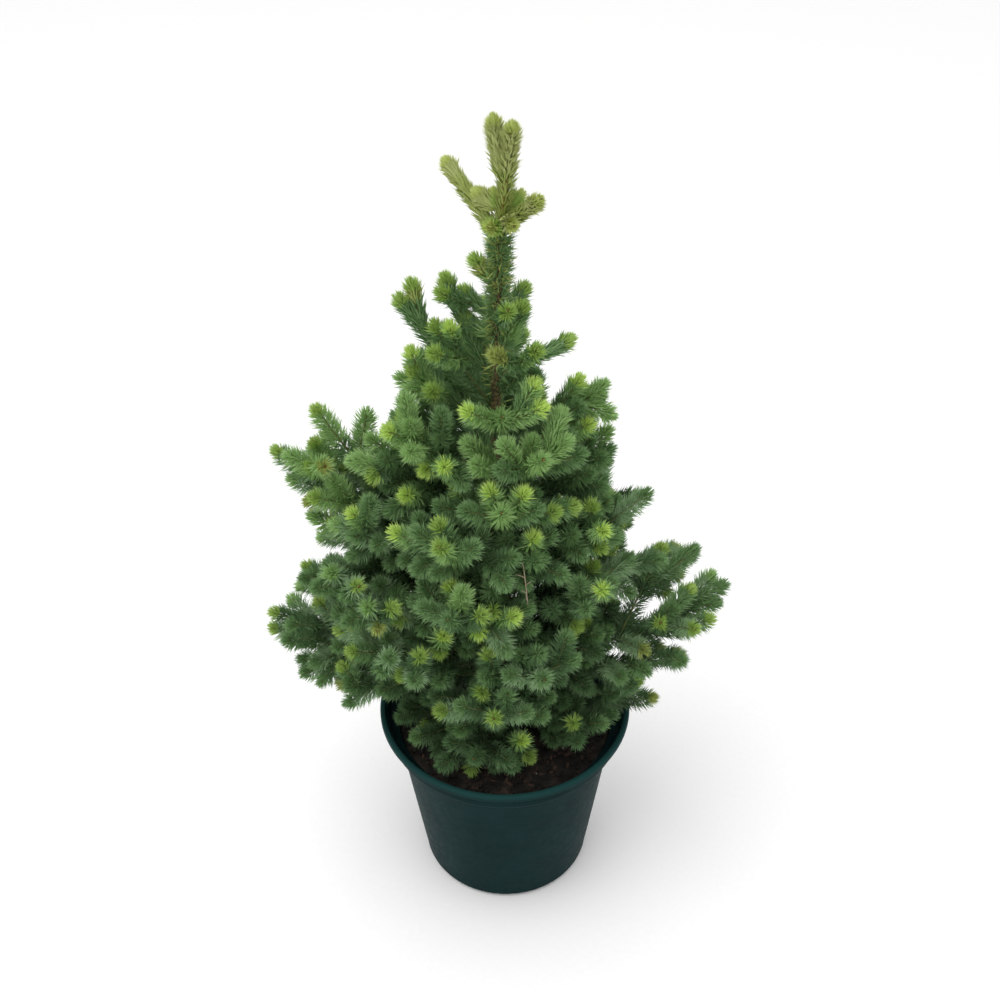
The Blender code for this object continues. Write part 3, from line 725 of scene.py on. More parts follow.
def grow_masses(rows):
    """Each mass's shoots: its main one, and the side shoots that find room."""
    masses = {name: [main] for name, number, main, dice in rows}
    masses["leader"] = leader_shoots()
    for name, number, main, dice in sorted(rows, key=lambda row: -row[2].length()):
        for side in side_shoots(main, main.length() > WIDE_REACH, dice):
            strangers = [shoot for owner in masses if owner != name for shoot in masses[owner]]
            for share in SHORTENINGS:
                trial = Shoot(side.root, side.root.lerp(side.tip, share), side.sag * share, order=1)
                if has_room(trial, strangers):
                    masses[name].append(trial)
                    break
    return masses


rows = bough_rows()
masses = grow_masses(rows)
leaders = masses["leader"]


# Finer shoots
# The same rule carried on: short shoots crowd round the outer part of every side shoot and
# turn up to the light, and small boughs leave the trunk between the whorls.
FINE_STEP = 0.0108
FINE_SHARE = 0.50
FINE_EXTRA = 0.020
FINE_LONGEST = 0.050
FINE_SHORTEST = 0.022
FINE_VARIATION = (0.85, 1.15)
FINE_REACH_VARIATION = (0.82, 1.12)
FINE_LIFT = 0.04
FINE_FOOT = 0.006
FREE_TIP = {0: 0.036, 1: 0.021, 2: 0.015}
FINE_ANGLE = 46
FINE_ANGLE_JITTER = 9
FINE_SHORTENINGS = (1.0, 0.85, 0.7)
TIP_SPACING = 0.0212
WAIST = 0.62
WAIST_SPACING = 0.0120
BEAD_SPACING = 0.006
MOST_BEADS = 30000
FINE_TRUNK_CLEARANCE = 0.008
FLAT_BEYOND = 0.172
FLAT_RISE = (-0.1, 0.45)
UPRIGHT = 0.2
LIGHT_PULL = 0.34
LIGHT_ANGLE = radians(42)
BARE_HEART = 0.34

# Long boughs for the crown's far tips: where each leaves the trunk above the rim, its
# bearing in degrees, its reach and its rise.
REACHING = (
    (0.185, 176, 0.217, 0.154),
    (0.240, 172, 0.152, 0.074),
    (0.395, 181, 0.085, 0.125),
    (0.392, 178, 0.089, 0.041),
    (0.466, 335, 0.026, 0.050),
    (0.532, 178, 0.021, 0.025),
    (0.345, 1, 0.103, 0.078),
    (0.268, 359, 0.112, 0.082),
    (0.085, 346, 0.221, 0.084),
    (0.060, 339, 0.196, 0.077),
    (0.020, 346, 0.167, 0.023),
    (0.050, 195, 0.178, 0.030),
    (0.060, 185, 0.217, 0.026),
    (0.100, 174, 0.205, 0.083),
    (0.100, 7, 0.173, 0.100),
    (0.315, 0, 0.080, 0.115),
    (0.002, 198, 0.112, 0.030),
    (-0.002, 216, 0.120, 0.020),
    (-0.004, 237, 0.124, 0.014),
    (0.000, 274, 0.116, 0.020),
    (0.170, 352, 0.149, 0.138),
    (0.165, 180, 0.186, 0.104),
    (0.070, 185, 0.238, 0.086),
    (0.430, 181, 0.044, 0.110),
    (0.420, 320, 0.029, 0.030),
    (0.478, 180, 0.030, 0.022),
    (0.250, 289, 0.116, 0.049),
    (0.300, 263, 0.072, 0.054),
    (0.215, 268, 0.120, 0.028),
    (0.300, 180, 0.086, 0.108),
    (0.235, 276, 0.090, 0.076),
    (0.200, 293, 0.108, 0.092),
    (0.405, 190, 0.055, 0.092),
)
REACHING_HANG = 0.04

# Shoots that fork from a long bough, or from a fork before: the parent's place, the share
# of its length where the fork leaves, and the tip, above the rim.
FORKS = (
    (1, 0.80, (-0.179, 0.020, 0.385)),
    (1, 0.93, (-0.130, 0.020, 0.380)),
    (2, 0.74, (-0.079, 0.000, 0.533)),
    (3, 0.70, (-0.083, 0.000, 0.462)),
    (6, 0.78, (0.102, -0.020, 0.402)),
    (0, 0.72, (-0.211, 0.018, 0.303)),
    (8, 0.56, (0.163, 0.000, 0.222)),
    (39, 0.45, (0.197, 0.000, 0.220)),
    (39, 0.75, (0.183, 0.000, 0.184)),
    (8, 0.62, (0.227, -0.020, 0.188)),
    (42, 0.60, (0.215, -0.010, 0.193)),
    (42, 0.45, (0.220, -0.030, 0.172)),
    (42, 0.20, (0.188, -0.020, 0.135)),
    (12, 0.78, (-0.215, -0.030, 0.078)),
    (11, 0.72, (-0.167, -0.060, 0.062)),
)

# How much of these masses' main shoots is kept, where a long bough takes their place.
SHORTER = {"3a": 0.34, "4a": 0.66, "4c": 0.86, "4d": 0.78, "5a": 0.66, "5c": 0.74, "7c": 0.86,
           "8b": 0.80, "8c": 0.56, "8d": 0.82, "9a": 0.60, "10a": 0.62, "10c": 0.86}

# The gaps where the photo shows sky between the boughs, as circles in pixels of the frame.
SKY_GAPS = ((417, 272, 15), (428, 298, 9), (472, 250, 11), (537, 332, 9), (548, 322, 14), (553, 376, 15),
            (568, 357, 9), (590, 362, 9), (634, 438, 11), (616, 479, 10), (632, 462, 18), (340, 403, 12),
            (346, 385, 18), (388, 400, 15), (301, 441, 12), (305, 424, 9), (344, 440, 11), (379, 447, 9),
            (369, 411, 5), (309, 547, 15), (326, 547, 7), (645, 520, 18), (633, 538, 8), (680, 527, 12),
            (712, 550, 9), (705, 567, 7), (726, 605, 8), (628, 576, 11), (668, 637, 8),
            (622, 657, 10), (688, 651, 8), (668, 683, 9), (660, 677, 8), (631, 717, 12), (292, 650, 8),
            (288, 677, 9), (335, 677, 8), (371, 711, 10), (312, 700, 12), (350, 728, 16), (491, 370, 13),
            (491, 396, 13), (552, 392, 11), (630, 474, 9), (698, 530, 7), (654, 664, 7),
            (382, 419, 9), (328, 549, 10), (283, 594, 8), (369, 700, 8), (532, 326, 8), (437, 256, 10),
            (330, 713, 9), (309, 532, 9), (655, 603, 13), (375, 728, 10), (666, 532, 8), (700, 576, 7),
            (566, 385, 8), (543, 398, 8), (590, 387, 6), (628, 731, 9), (614, 648, 7),
            (634, 658, 7), (618, 489, 8), (648, 534, 7))
FRAME_SIDE = 1000
GAP_SHARES = (0.55, 0.8, 1.0)

BETWEEN_COUNT = 9
BETWEEN_LEVELS = (0.3, 0.75)
BETWEEN_REACH = (0.62, 0.92)
BETWEEN_TURN = 1.3
BETWEEN_RISE = 0.05
BETWEEN_STEEPNESS = (0.35, 0.95)
BETWEEN_SEED = 31
FINE_SEED = 400
GOLDEN_ANGLE = radians(137.508)
SOIL_CLEARANCE = 0.007
RIM_CLEARANCE = 0.010
COLLAR_CLEARANCE = 0.006
TIP_RISE = 0.10
EDGE_REACH = 0.014
DEEP_REACH = 0.040
EDGE_MARGIN = 0.014
LEVEL_SPAN = 0.030
BEARING_SPAN = radians(15)

# Short clubs at the foot of the leader: bearing, reach and rise.
EXTRA_CROWN = ((156, 0.023, 0.016), (130, 0.012, 0.015), (290, 0.024, 0.001))


def crown_reach(height):
    """How far the crown's ordinary boughs reach at a height above the rim."""
    heights = [row[0] + row[3] * TIP_RISE for row in WHORLS]
    reaches = [sorted(row[2])[len(row[2]) // 2] for row in WHORLS]
    return float(np.interp(height, heights, reaches))


def clear_of_pot(spot):
    """Whether a spot stays above the soil and the pot's lip."""
    radius = (spot.x ** 2 + spot.y ** 2) ** 0.5
    if radius < inner_collar - COLLAR_CLEARANCE:
        return spot.z > SOIL_TOP + SOIL_CLEARANCE
    return radius > LIP_RADIUS + RIM_CLEARANCE or spot.z > POT_HEIGHT + RIM_CLEARANCE


def seen_at(spot):
    """Where the viewer sees a spot, in pixels from the top left corner of the frame."""
    away = camera.rotation_quaternion.inverted() @ (Vector(spot) - camera.location)
    scale = FRAME_SIDE * LENS / SENSOR / -away.z
    return FRAME_SIDE / 2 + scale * away.x, FRAME_SIDE / 2 - scale * away.y


def in_sky_gap(shoot):
    """Whether a shoot would close one of the gaps where sky shows between the boughs."""
    places = [seen_at(shoot.point(share)) for share in GAP_SHARES]
    return any((across - x) ** 2 + (down - y) ** 2 < radius ** 2
               for across, down in places for x, y, radius in SKY_GAPS)


class Crowd:
    """The shoots that have grown so far, as beads, to tell whether another finds room."""

    def __init__(self, shoots):
        self.shoots = []
        self.beads = np.zeros((MOST_BEADS, 3))
        self.count = 0
        for shoot in shoots:
            self.add(shoot)
        self.first = self.beads[:self.count].copy()
        self.first_radii = np.hypot(self.first[:, 0], self.first[:, 1])

    def add(self, shoot):
        self.shoots.append(shoot)
        steps = max(int(shoot.length() / BEAD_SPACING), 2)
        for step in range(steps + 1):
            self.beads[self.count] = shoot.point(step / steps)
            self.count += 1

    def room_round(self, spot):
        return np.linalg.norm(self.beads[:self.count] - np.array(spot), axis=1).min()

    def within_crown(self, tip):
        """Whether a tip stays in the outline that the long boughs give the crown."""
        away = np.linalg.norm(self.first - np.array(tip), axis=1).min()
        if away < EDGE_REACH or away > DEEP_REACH:
            return away < EDGE_REACH
        radius = (tip.x ** 2 + tip.y ** 2) ** 0.5
        along = (self.first[:, 0] * tip.x + self.first[:, 1] * tip.y) / radius
        near = (abs(self.first[:, 2] - tip.z) < LEVEL_SPAN) & (along > self.first_radii * cos(BEARING_SPAN))
        return near.any() and radius < self.first_radii[near].max() - EDGE_MARGIN

    def room_for(self, trial):
        """Whether a shoot's tip and waist keep their distance from all the others."""
        if not clear_of_pot(trial.tip) or trunk_clearance(trial) < FINE_TRUNK_CLEARANCE:
            return False
        if not self.within_crown(trial.tip) or in_sky_gap(trial):
            return False
        return (self.room_round(trial.tip) > TIP_SPACING
                and self.room_round(trial.point(WAIST)) > WAIST_SPACING)

    def try_to_grow(self, root, heading, reach, order):
        """Grows a shoot at full length or shortened, and returns it if it found room."""
        for share in FINE_SHORTENINGS:
            length = reach * share
            if length < FINE_SHORTEST:
                return None
            trial = Shoot(root, root + heading * length, -FINE_LIFT * length, order=order)
            if self.room_for(trial):
                self.add(trial)
                return trial
        return None


def fan_of(shoot, share):
    """The heading of a shoot at a share of its length, and the two ways square to it."""
    tangent = shoot.heading(share)
    aside = tangent.cross(UP)
    if aside.length < UPRIGHT:
        aside = tangent.cross(Vector((0, 1, 0)))
    aside.normalize()
    return tangent, aside, aside.cross(tangent)


def to_light(spot):
    """The way that a shoot turns to find light: outward from the trunk and up."""
    outward = Vector((spot.x, spot.y, 0)).normalized()
    return outward * cos(LIGHT_ANGLE) + UP * sin(LIGHT_ANGLE)


def crowd_round(crowd, parent, dice, order):
    """Short shoots all round the outer part of a parent, as many as find room."""
    grown = []
    length = parent.length()
    rest = FREE_TIP[parent.order] * dice.uniform(*FINE_VARIATION)
    spin = dice.uniform(0, 2 * pi)
    while length - rest > parent.start * length + FINE_FOOT:
        share = 1 - rest / length
        root = parent.point(share)
        tangent, aside, lift = fan_of(parent, share)
        spin += GOLDEN_ANGLE
        rest += FINE_STEP * dice.uniform(*FINE_VARIATION)
        away = Vector((root.x, root.y, 0)).length
        if away < BARE_HEART * crown_reach(root.z - POT_HEIGHT) and order > 1:
            continue
        for turn in range(4):
            around = spin + turn * pi / 2
            rise = sin(around)
            if away > FLAT_BEYOND:
                if turn > 1:
                    continue
                around = pi * turn
                rise = dice.uniform(*FLAT_RISE)
            angle = radians(FINE_ANGLE + dice.uniform(-FINE_ANGLE_JITTER, FINE_ANGLE_JITTER))
            heading = tangent * cos(angle) + (aside * cos(around) + lift * rise) * sin(angle)
            heading = (heading + to_light(root) * LIGHT_PULL).normalized()
            reach = min(FINE_SHARE * rest + FINE_EXTRA, FINE_LONGEST) * dice.uniform(*FINE_REACH_VARIATION)
            grown.append(crowd.try_to_grow(root, heading, reach, order))
    return [shoot for shoot in grown if shoot]


def small_boughs(crowd):
    """Boughs that leave the trunk between one whorl and the next, with their side shoots."""
    dice = random.Random(BETWEEN_SEED)
    grown = []
    heights = [row[0] for row in WHORLS]
    for number, (low, high) in enumerate(zip(heights, heights[1:])):
        for place in range(BETWEEN_COUNT):
            height = low + (high - low) * (BETWEEN_LEVELS[place % 2] + dice.uniform(-0.08, 0.08))
            bearing = 2 * pi * (place + dice.uniform(-0.25, 0.25)) / BETWEEN_COUNT + number * BETWEEN_TURN
            away = Vector((cos(bearing), sin(bearing), 0))
            heading = (away + UP * dice.uniform(*BETWEEN_STEEPNESS)).normalized()
            reach = crown_reach(height + BETWEEN_RISE) * dice.uniform(*BETWEEN_REACH)
            root = trunk_centre(height) + away * trunk_radius(height)
            bough = crowd.try_to_grow(root, heading, reach, 1)
            if bough:
                grown.append(bough)
                for side in side_shoots(bough, False, dice):
                    along = side.tip - side.root
                    grown.append(crowd.try_to_grow(side.root, along.normalized(), along.length, 2))
    return [shoot for shoot in grown if shoot]


def reaching_bough(height, bearing, reach, rise):
    """A long bough that leaves the trunk between the whorls, for one of the crown's far tips."""
    away = Vector((cos(radians(bearing)), sin(radians(bearing)), 0))
    centre = trunk_centre(height)
    root = centre + away * trunk_radius(height)
    return Shoot(root, centre + away * reach + UP * rise, sag=REACHING_HANG * reach, order=1)


for name, shoots in masses.items():
    masses[name] = [shoot for shoot in shoots if shoot.order == 0 or not in_sky_gap(shoot)]
for name, share in SHORTER.items():
    whole = masses[name][0]
    main = Shoot(whole.root, whole.point(share), whole.sag * share ** 2)
    sides = [side for side in masses[name][1:] if (side.root - main.root).length < main.length()]
    masses[name] = [main] + sides
reaching = [reaching_bough(*row) for row in REACHING]
forks = []
for place, share, (x, y, height) in FORKS:
    parent = (reaching + forks)[place]
    forks.append(Shoot(parent.point(share), Vector((x, y, POT_HEIGHT + height)), order=1))
crowd = Crowd([shoot for shoots in masses.values() for shoot in shoots] + reaching + forks)
generation = [shoot for shoot in crowd.shoots if shoot not in leaders + forks]
generation.sort(key=lambda shoot: -Vector((shoot.tip.x, shoot.tip.y, 0)).length)
generation += small_boughs(crowd)
whorl = leaders[-1].root
for bearing, reach, lift in EXTRA_CROWN:
    angle = radians(bearing)
    club = Shoot(whorl, whorl + Vector((reach * cos(angle), reach * sin(angle), lift)), order=2)
    crowd.add(club)
    leaders.append(club)
dice = random.Random(FINE_SEED)
for order in (2, 3):
    grown = []
    for parent in generation:
        grown += crowd_round(crowd, parent, dice, order)
    generation = grown


# Boughs
# The bare feet of the lowest boughs, tapering from the trunk into their foliage, with the
# same scaly bark. Rings are set along each limb, and noise roughens them.
STEM_RADIUS = 0.0034
LIMB_SIDES = 18
RING_SPACING = 0.0022
LIMB_ROUGHNESS = 0.00035
LIMB_GRAIN = 260


def limb_rings(points, radii, sides, roughness=0.0):
    """The corners and triangles of a closed round limb along a row of points."""
    points = np.asarray(points)
    radii = np.asarray(radii)
    steps = np.gradient(points, axis=0)
    tangents = steps / np.linalg.norm(steps, axis=1, keepdims=True)
    helper = np.array((0.0, 0, 1)) if abs(tangents[:, 2].mean()) < 0.8 else np.array((1.0, 0, 0))
    across = np.cross(tangents, helper)
    across /= np.linalg.norm(across, axis=1, keepdims=True)
    other = np.cross(tangents, across)
    angles = 2 * pi * np.arange(sides) / sides
    outward = across[:, None] * np.cos(angles)[None, :, None] + other[:, None] * np.sin(angles)[None, :, None]
    swell = np.ones((len(points), sides))
    if roughness:
        for ring, point in enumerate(points):
            for side in range(sides):
                spot = Vector(point + outward[ring, side] * radii[ring]) * LIMB_GRAIN
                swell[ring, side] += noise.noise(spot) * roughness / radii[ring]
    verts = points[:, None] + outward * (radii[:, None] * swell)[:, :, None]
    verts = np.concatenate([verts.reshape(-1, 3), points[:1], points[-1:] + tangents[-1:] * radii[-1]])
    ring = np.arange(sides)
    after = (ring + 1) % sides
    faces = []
    for step in range(len(points) - 1):
        low = step * sides
        high = low + sides
        faces.append(np.stack([low + ring, low + after, high + after], axis=1))
        faces.append(np.stack([low + ring, high + after, high + ring], axis=1))
    last = (len(points) - 1) * sides
    root = len(points) * sides
    faces.append(np.stack([after, ring, np.full(sides, root)], axis=1))
    faces.append(np.stack([last + ring, last + after, np.full(sides, root + 1)], axis=1))
    return verts, np.concatenate(faces)


def join_limbs(name, limbs, material, smooth=True):
    """One piece from the corners and triangles of many limbs."""
    verts, faces, count = [], [], 0
    for limb_verts, limb_faces in limbs:
        verts.append(limb_verts)
        faces.append(limb_faces + count)
        count += len(limb_verts)
    return mesh_piece(name, np.concatenate(verts), np.concatenate(faces), material, smooth)


limbs = []
for name, number, main, dice in rows:
    if number <= LIMBED_WHORLS:
        steps = int(main.length() * main.start / RING_SPACING)
        shares = [main.start * step / steps for step in range(steps + 1)]
        radii = [LIMB_RADIUS + (STEM_RADIUS - LIMB_RADIUS) * step / steps for step in range(steps + 1)]
        limbs.append(limb_rings([main.point(share) for share in shares], radii, LIMB_SIDES, LIMB_ROUGHNESS))
boughs = join_limbs("bare_boughs", limbs, bark)
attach(boughs, "root")
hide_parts(*[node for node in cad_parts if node.startswith("bough_")])


# Twigs
# The wood inside the foliage: thin stems of the last years' growth that taper to their
# buds, each a closed limb of five sides. The leader's wood is golden brown.
TWIG_SIDES = 5
TWIG_SPACING = 0.009
TWIG_WIDEST = {0: 0.0026, 1: 0.0016, 2: 0.0011, 3: 0.0009}
TWIG_LEAST = 0.0009
TWIG_SWELL = 0.022
TWIG_TAPER = 0.8
TWIG_TIP = 0.0008

# Spruce twigs: smooth thin skin, olive brown, and golden brown on the year's leader.
TWIG_SKIN_MM = 18.0
twig_skin = two_tone_finish("olive_brown_twig", "667040", "868E58", TWIG_SKIN_MM, 4.0, Roughness=0.7)
leader_skin = two_tone_finish("golden_brown_twig", "8A6A34", "B08C4A", TWIG_SKIN_MM, 4.0, Roughness=0.7)


def wood_radius(shoot, share):
    """How thick a shoot's wood is at a share of its length past its start."""
    wide = min(TWIG_WIDEST[shoot.order], TWIG_LEAST + TWIG_SWELL * shoot.length())
    return wide + (TWIG_TIP - wide) * share ** TWIG_TAPER


def twig_limbs(shoots):
    """The wood of some shoots, each as the corners and triangles of a thin limb."""
    limbs = []
    for shoot in shoots:
        length = shoot.length() * (1 - shoot.start)
        steps = max(int(length / TWIG_SPACING), 3)
        shares = [step / steps for step in range(steps + 1)]
        points = [shoot.point(shoot.start + (1 - shoot.start) * share) for share in shares]
        limbs.append(limb_rings(points, [wood_radius(shoot, share) for share in shares], TWIG_SIDES))
    return limbs


below = [shoot for shoot in crowd.shoots if shoot not in leaders]
twigs = join_limbs("twigs", twig_limbs(below), twig_skin)
leader_wood = join_limbs("leader_wood", twig_limbs(leaders), leader_skin)
for piece in (twigs, leader_wood):
    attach(piece, "root")
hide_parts(*[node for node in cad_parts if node.startswith("foliage_")])


# Needles
# Stiff keeled needles, 17 mm long, set in a spiral all round each shoot and leaning towards
# its tip, where short ones crowd into a round club. Each is a slim spindle of four faces.
NEEDLE_LENGTH = 0.0172
NEEDLE_WIDTH = 0.00135
NEEDLE_KEEL = 0.00050
WIDEST_AT = 0.45
CURVE = 0.03
LENGTH_VARIATION = (0.80, 1.06)
FOOT_LENGTH = 0.80
FOOT_ZONE = 0.03
CLUB_LENGTHS = ((0, 0.005, 0.013), (0.52, 0.74, 1))
LEADER_LENGTH = 0.86

NEEDLE_PITCH = 0.000155
LEADER_PITCH = 0.00008
SLEEVE_PITCH = 0.00006
CLUB_PITCH = 0.00024
CLUB_ZONE = 0.010
CLUB_EDGE = (0.008, 0.018)
HEART_SHARE = 0.60
HEART_RISE = 0.03
HEART_THINNING = 1.25
OLD_WOOD = 0.050
OLDER_WOOD = 0.090
OLD_KEEP = 0.65
OLDER_KEEP = 0.42
SLEEVE_FOOT = 0.40
SLEEVE_OVERLAP = 0.010
SLEEVE_THINNING = ((0.40, 0.49), (0.12, 1.0))

# How far needles lean from their shoot, in degrees: at its foot, along it, in its club and
# at its very tip.
PLUMP_LEANS = (60, 62, 50, 18)
UPPER_LEANS = (46, 50, 50, 16)
SLIM_LEANS = (30, 34, 46, 14)
LEADER_LEANS = (28, 48, 50, 8)
SLEEVE_LEANS = (60, 60, 60, 60)
UPPER_ABOVE = 0.395
SLIM_ABOVE = 0.500
UPPER_LEAN = 0.42
LEAN_SPREAD = 8
SLEEVE_SPREAD = 22
TURN_SPREAD = 0.3
LIGHT_LIFT = 0.08
SEATED = 0.8
NEEDLE_SOIL_GAP = 0.004
NEEDLE_LIP_GAP = 0.002
NEEDLE_SEED = 9


def unit(rows):
    """Each row scaled to a length of one."""
    return rows / np.linalg.norm(rows, axis=1, keepdims=True)


def needles_on(shoot, luck, leans, spread, pitch, bare, foot_radius):
    """The needles of one shoot: bases, directions, outward sides, lengths, distances to the tip."""
    full = shoot.length()
    begin = shoot.start * full + bare
    count = int((full - begin) / pitch)
    extra = int(CLUB_ZONE / CLUB_PITCH * min(NEEDLE_PITCH / pitch, 2))
    along = begin + (np.arange(count) + 0.5) * (full - begin) / count
    along = np.concatenate([along, full - CLUB_ZONE * (np.arange(extra) + 0.5) / extra])
    rest = full - along
    keep = np.where(rest > OLDER_WOOD, OLDER_KEEP, np.where(rest > OLD_WOOD, OLD_KEEP, 1.0))
    kept = (luck.random(len(along)) < keep) & (along > begin)
    along, rest = along[kept], rest[kept]
    count = len(along)
    share = along / full
    root, tip = np.array(shoot.root), np.array(shoot.tip)
    bases = root + (tip - root) * share[:, None]
    bases[:, 2] -= shoot.sag * 4 * share * (1 - share)
    tangents = np.tile(tip - root, (count, 1))
    tangents[:, 2] -= shoot.sag * 4 * (1 - 2 * share)
    tangents = unit(tangents)
    helper = np.array((0.0, 0, 1)) if abs(tangents[:, 2].mean()) < 0.85 else np.array((1.0, 0, 0))
    across = unit(np.cross(tangents, helper))
    other = np.cross(across, tangents)
    angle = GOLDEN_ANGLE * np.arange(count) + luck.normal(0, TURN_SPREAD, count)
    outward = across * np.cos(angle)[:, None] + other * np.sin(angle)[:, None]
    bases += outward * (foot_radius + (TWIG_TIP - foot_radius) * share)[:, None] * SEATED
    root_lean, later_lean, club_lean, tip_lean = leans
    lean = root_lean + (later_lean - root_lean) * share
    in_club = np.interp(rest, CLUB_EDGE, (1, 0))
    lean += (club_lean - lean) * in_club
    lean += (tip_lean - lean) * np.interp(rest, (0, CLUB_EDGE[0]), (1, 0)) ** 1.1
    lean *= 1 - UPPER_LEAN * np.clip(outward[:, 2], 0, 1) * (1 - in_club)
    lean = np.radians(lean + luck.normal(0, spread, count))
    headings = tangents * np.cos(lean)[:, None] + outward * np.sin(lean)[:, None]
    headings[:, 2] += LIGHT_LIFT
    headings = unit(headings)
    lengths = NEEDLE_LENGTH * luck.uniform(*LENGTH_VARIATION, count)
    lengths *= np.interp(rest, *CLUB_LENGTHS)
    lengths *= np.clip(FOOT_LENGTH + along / FOOT_ZONE, 0, 1)
    return bases, headings, outward, lengths, rest


def above_soil(bases, headings, lengths):
    """Which needles end clear of the soil and the pot's lip."""
    tips = bases + headings * lengths[:, None]
    radius = np.hypot(tips[:, 0], tips[:, 1])
    in_soil = (radius < inner_collar) & (tips[:, 2] < SOIL_TOP + NEEDLE_SOIL_GAP)
    over_lip = (radius > inner_collar - NEEDLE_LIP_GAP) & (radius < LIP_RADIUS + NEEDLE_LIP_GAP)
    return ~(in_soil | over_lip & (tips[:, 2] < POT_HEIGHT))


def needle_piece(name, parts, material):
    """Joins the needles of one colour into a piece of closed four-sided spindles."""
    bases, headings, outward, lengths = (np.concatenate(column) for column in zip(*parts))
    outward = unit(outward - headings * (outward * headings).sum(axis=1, keepdims=True))
    sideways = np.cross(outward, headings) * NEEDLE_WIDTH / 2
    bend = lengths * CURVE + NEEDLE_KEEL
    middle = bases + headings * (lengths * WIDEST_AT)[:, None] + outward * bend[:, None]
    corners = [bases, middle + sideways, middle - sideways, bases + headings * lengths[:, None]]
    verts = np.stack(corners, axis=1).reshape(-1, 3)
    pattern = np.array([(0, 2, 1), (3, 1, 2), (0, 1, 3), (0, 3, 2)])
    faces = (pattern[None] + 4 * np.arange(len(bases))[:, None, None]).reshape(-1, 3)
    return mesh_piece(name, verts, faces, material)


# Waxy spruce needles: a soft sheen and a faint mottle of two greens, drawn coarser than it
# is so that it shows. The greens run from the shaded heart of the crown to the new tips.
MOTTLE_MM = 2.5
GREENS = {
    "deep": ("485F40", "5C7650"),
    "moss": ("506E46", "668858"),
    "leaf": ("628652", "80A26A"),
    "bloom": ("7CA45C", "A4C480"),
    "haze": ("749866", "A4C094"),
    "olive": ("8E9C4E", "B2C070"),
    "fresh": ("8CAC4E", "A8C46A"),
    "bright": ("A8CA52", "CEE486"),
    "lead": ("A2AC5E", "C4CC8E"),
    "cap": ("A6B856", "C8D284"),
}
finishes = {green: two_tone_finish(f"{green}_needles", *shades, MOTTLE_MM, 2.0, Roughness=0.5, IOR=1.45)
            for green, shades in GREENS.items()}

# Above each tone, the greens of a shoot: its middle, its foot, its outer part and its crest. The darker green
# at the foot is painted shade, deep in the crown.
TONES = (
    (0.74, ("bloom", "leaf", "bloom", "bloom")),
    (0.46, ("leaf", "moss", "leaf", "leaf")),
    (0.22, ("moss", "deep", "moss", "leaf")),
    (-9, ("deep", "deep", "moss", "moss")),
)
FOOT_BEYOND = 0.045
OUTER_WITHIN = 0.022
CREST = 0.010
STRONG_CREST = 0.008
LIT_CREST = 0.0085
LEADER_CREST = 0.007
LEADER_OLIVE_BELOW = 0.66
PATCH = 0.045
CROWN_SPAN = 0.55
OUT_FROM = 0.11
OUT_SPAN = 0.08

# The rosettes that catch the light at the front, in pixels of the camera's frame. Their shoots take the
# brightest greens, as a painted highlight.
LIT_PLACES = ((425, 487), (410, 500), (480, 490), (485, 530), (547, 539), (461, 575), (394, 545), (471, 412),
              (532, 383), (339, 504), (607, 519), (520, 608), (451, 645), (483, 639), (515, 734), (388, 438),
              (538, 421), (598, 582), (446, 464), (532, 493), (462, 330), (455, 347), (512, 338), (600, 420),
              (592, 382), (404, 352), (320, 470), (664, 612))
LIT_WITHIN = 16
LIT_BEHIND = 0.04
brightest = []
for across, down in LIT_PLACES:
    near = []
    for shoot in crowd.shoots:
        seen = seen_at(shoot.tip)
        if (seen[0] - across) ** 2 + (seen[1] - down) ** 2 < LIT_WITHIN ** 2:
            near.append(shoot)
    if near:
        brightest.append(min(near, key=lambda shoot: (shoot.tip - camera.location).length))

sleeve = Shoot(trunk_centre(SLEEVE_FOOT), trunk_centre(TRUNK_TOP) + UP * SLEEVE_OVERLAP)


def stance_of(shoot, inner):
    """How needles stand on a shoot: leans, spread, pitch, bare length and radius at its foot."""
    if shoot is sleeve:
        return SLEEVE_LEANS, SLEEVE_SPREAD, SLEEVE_PITCH, 0, trunk_radius(SLEEVE_FOOT)
    wood = wood_radius(shoot, 0)
    if shoot in leaders and shoot.heading(0.5).z > 0.9:
        return LEADER_LEANS, LEAN_SPREAD, LEADER_PITCH, 0.012, wood
    if shoot in leaders:
        return SLIM_LEANS, LEAN_SPREAD, LEADER_PITCH, 0.004, wood
    pitch = NEEDLE_PITCH * HEART_THINNING if inner else NEEDLE_PITCH
    leans = PLUMP_LEANS
    if shoot.tip.z - POT_HEIGHT > UPPER_ABOVE:
        leans = UPPER_LEANS if shoot.tip.z - POT_HEIGHT < SLIM_ABOVE else SLIM_LEANS
    return leans, LEAN_SPREAD, pitch, 0.002 if shoot.order else 0.008, wood


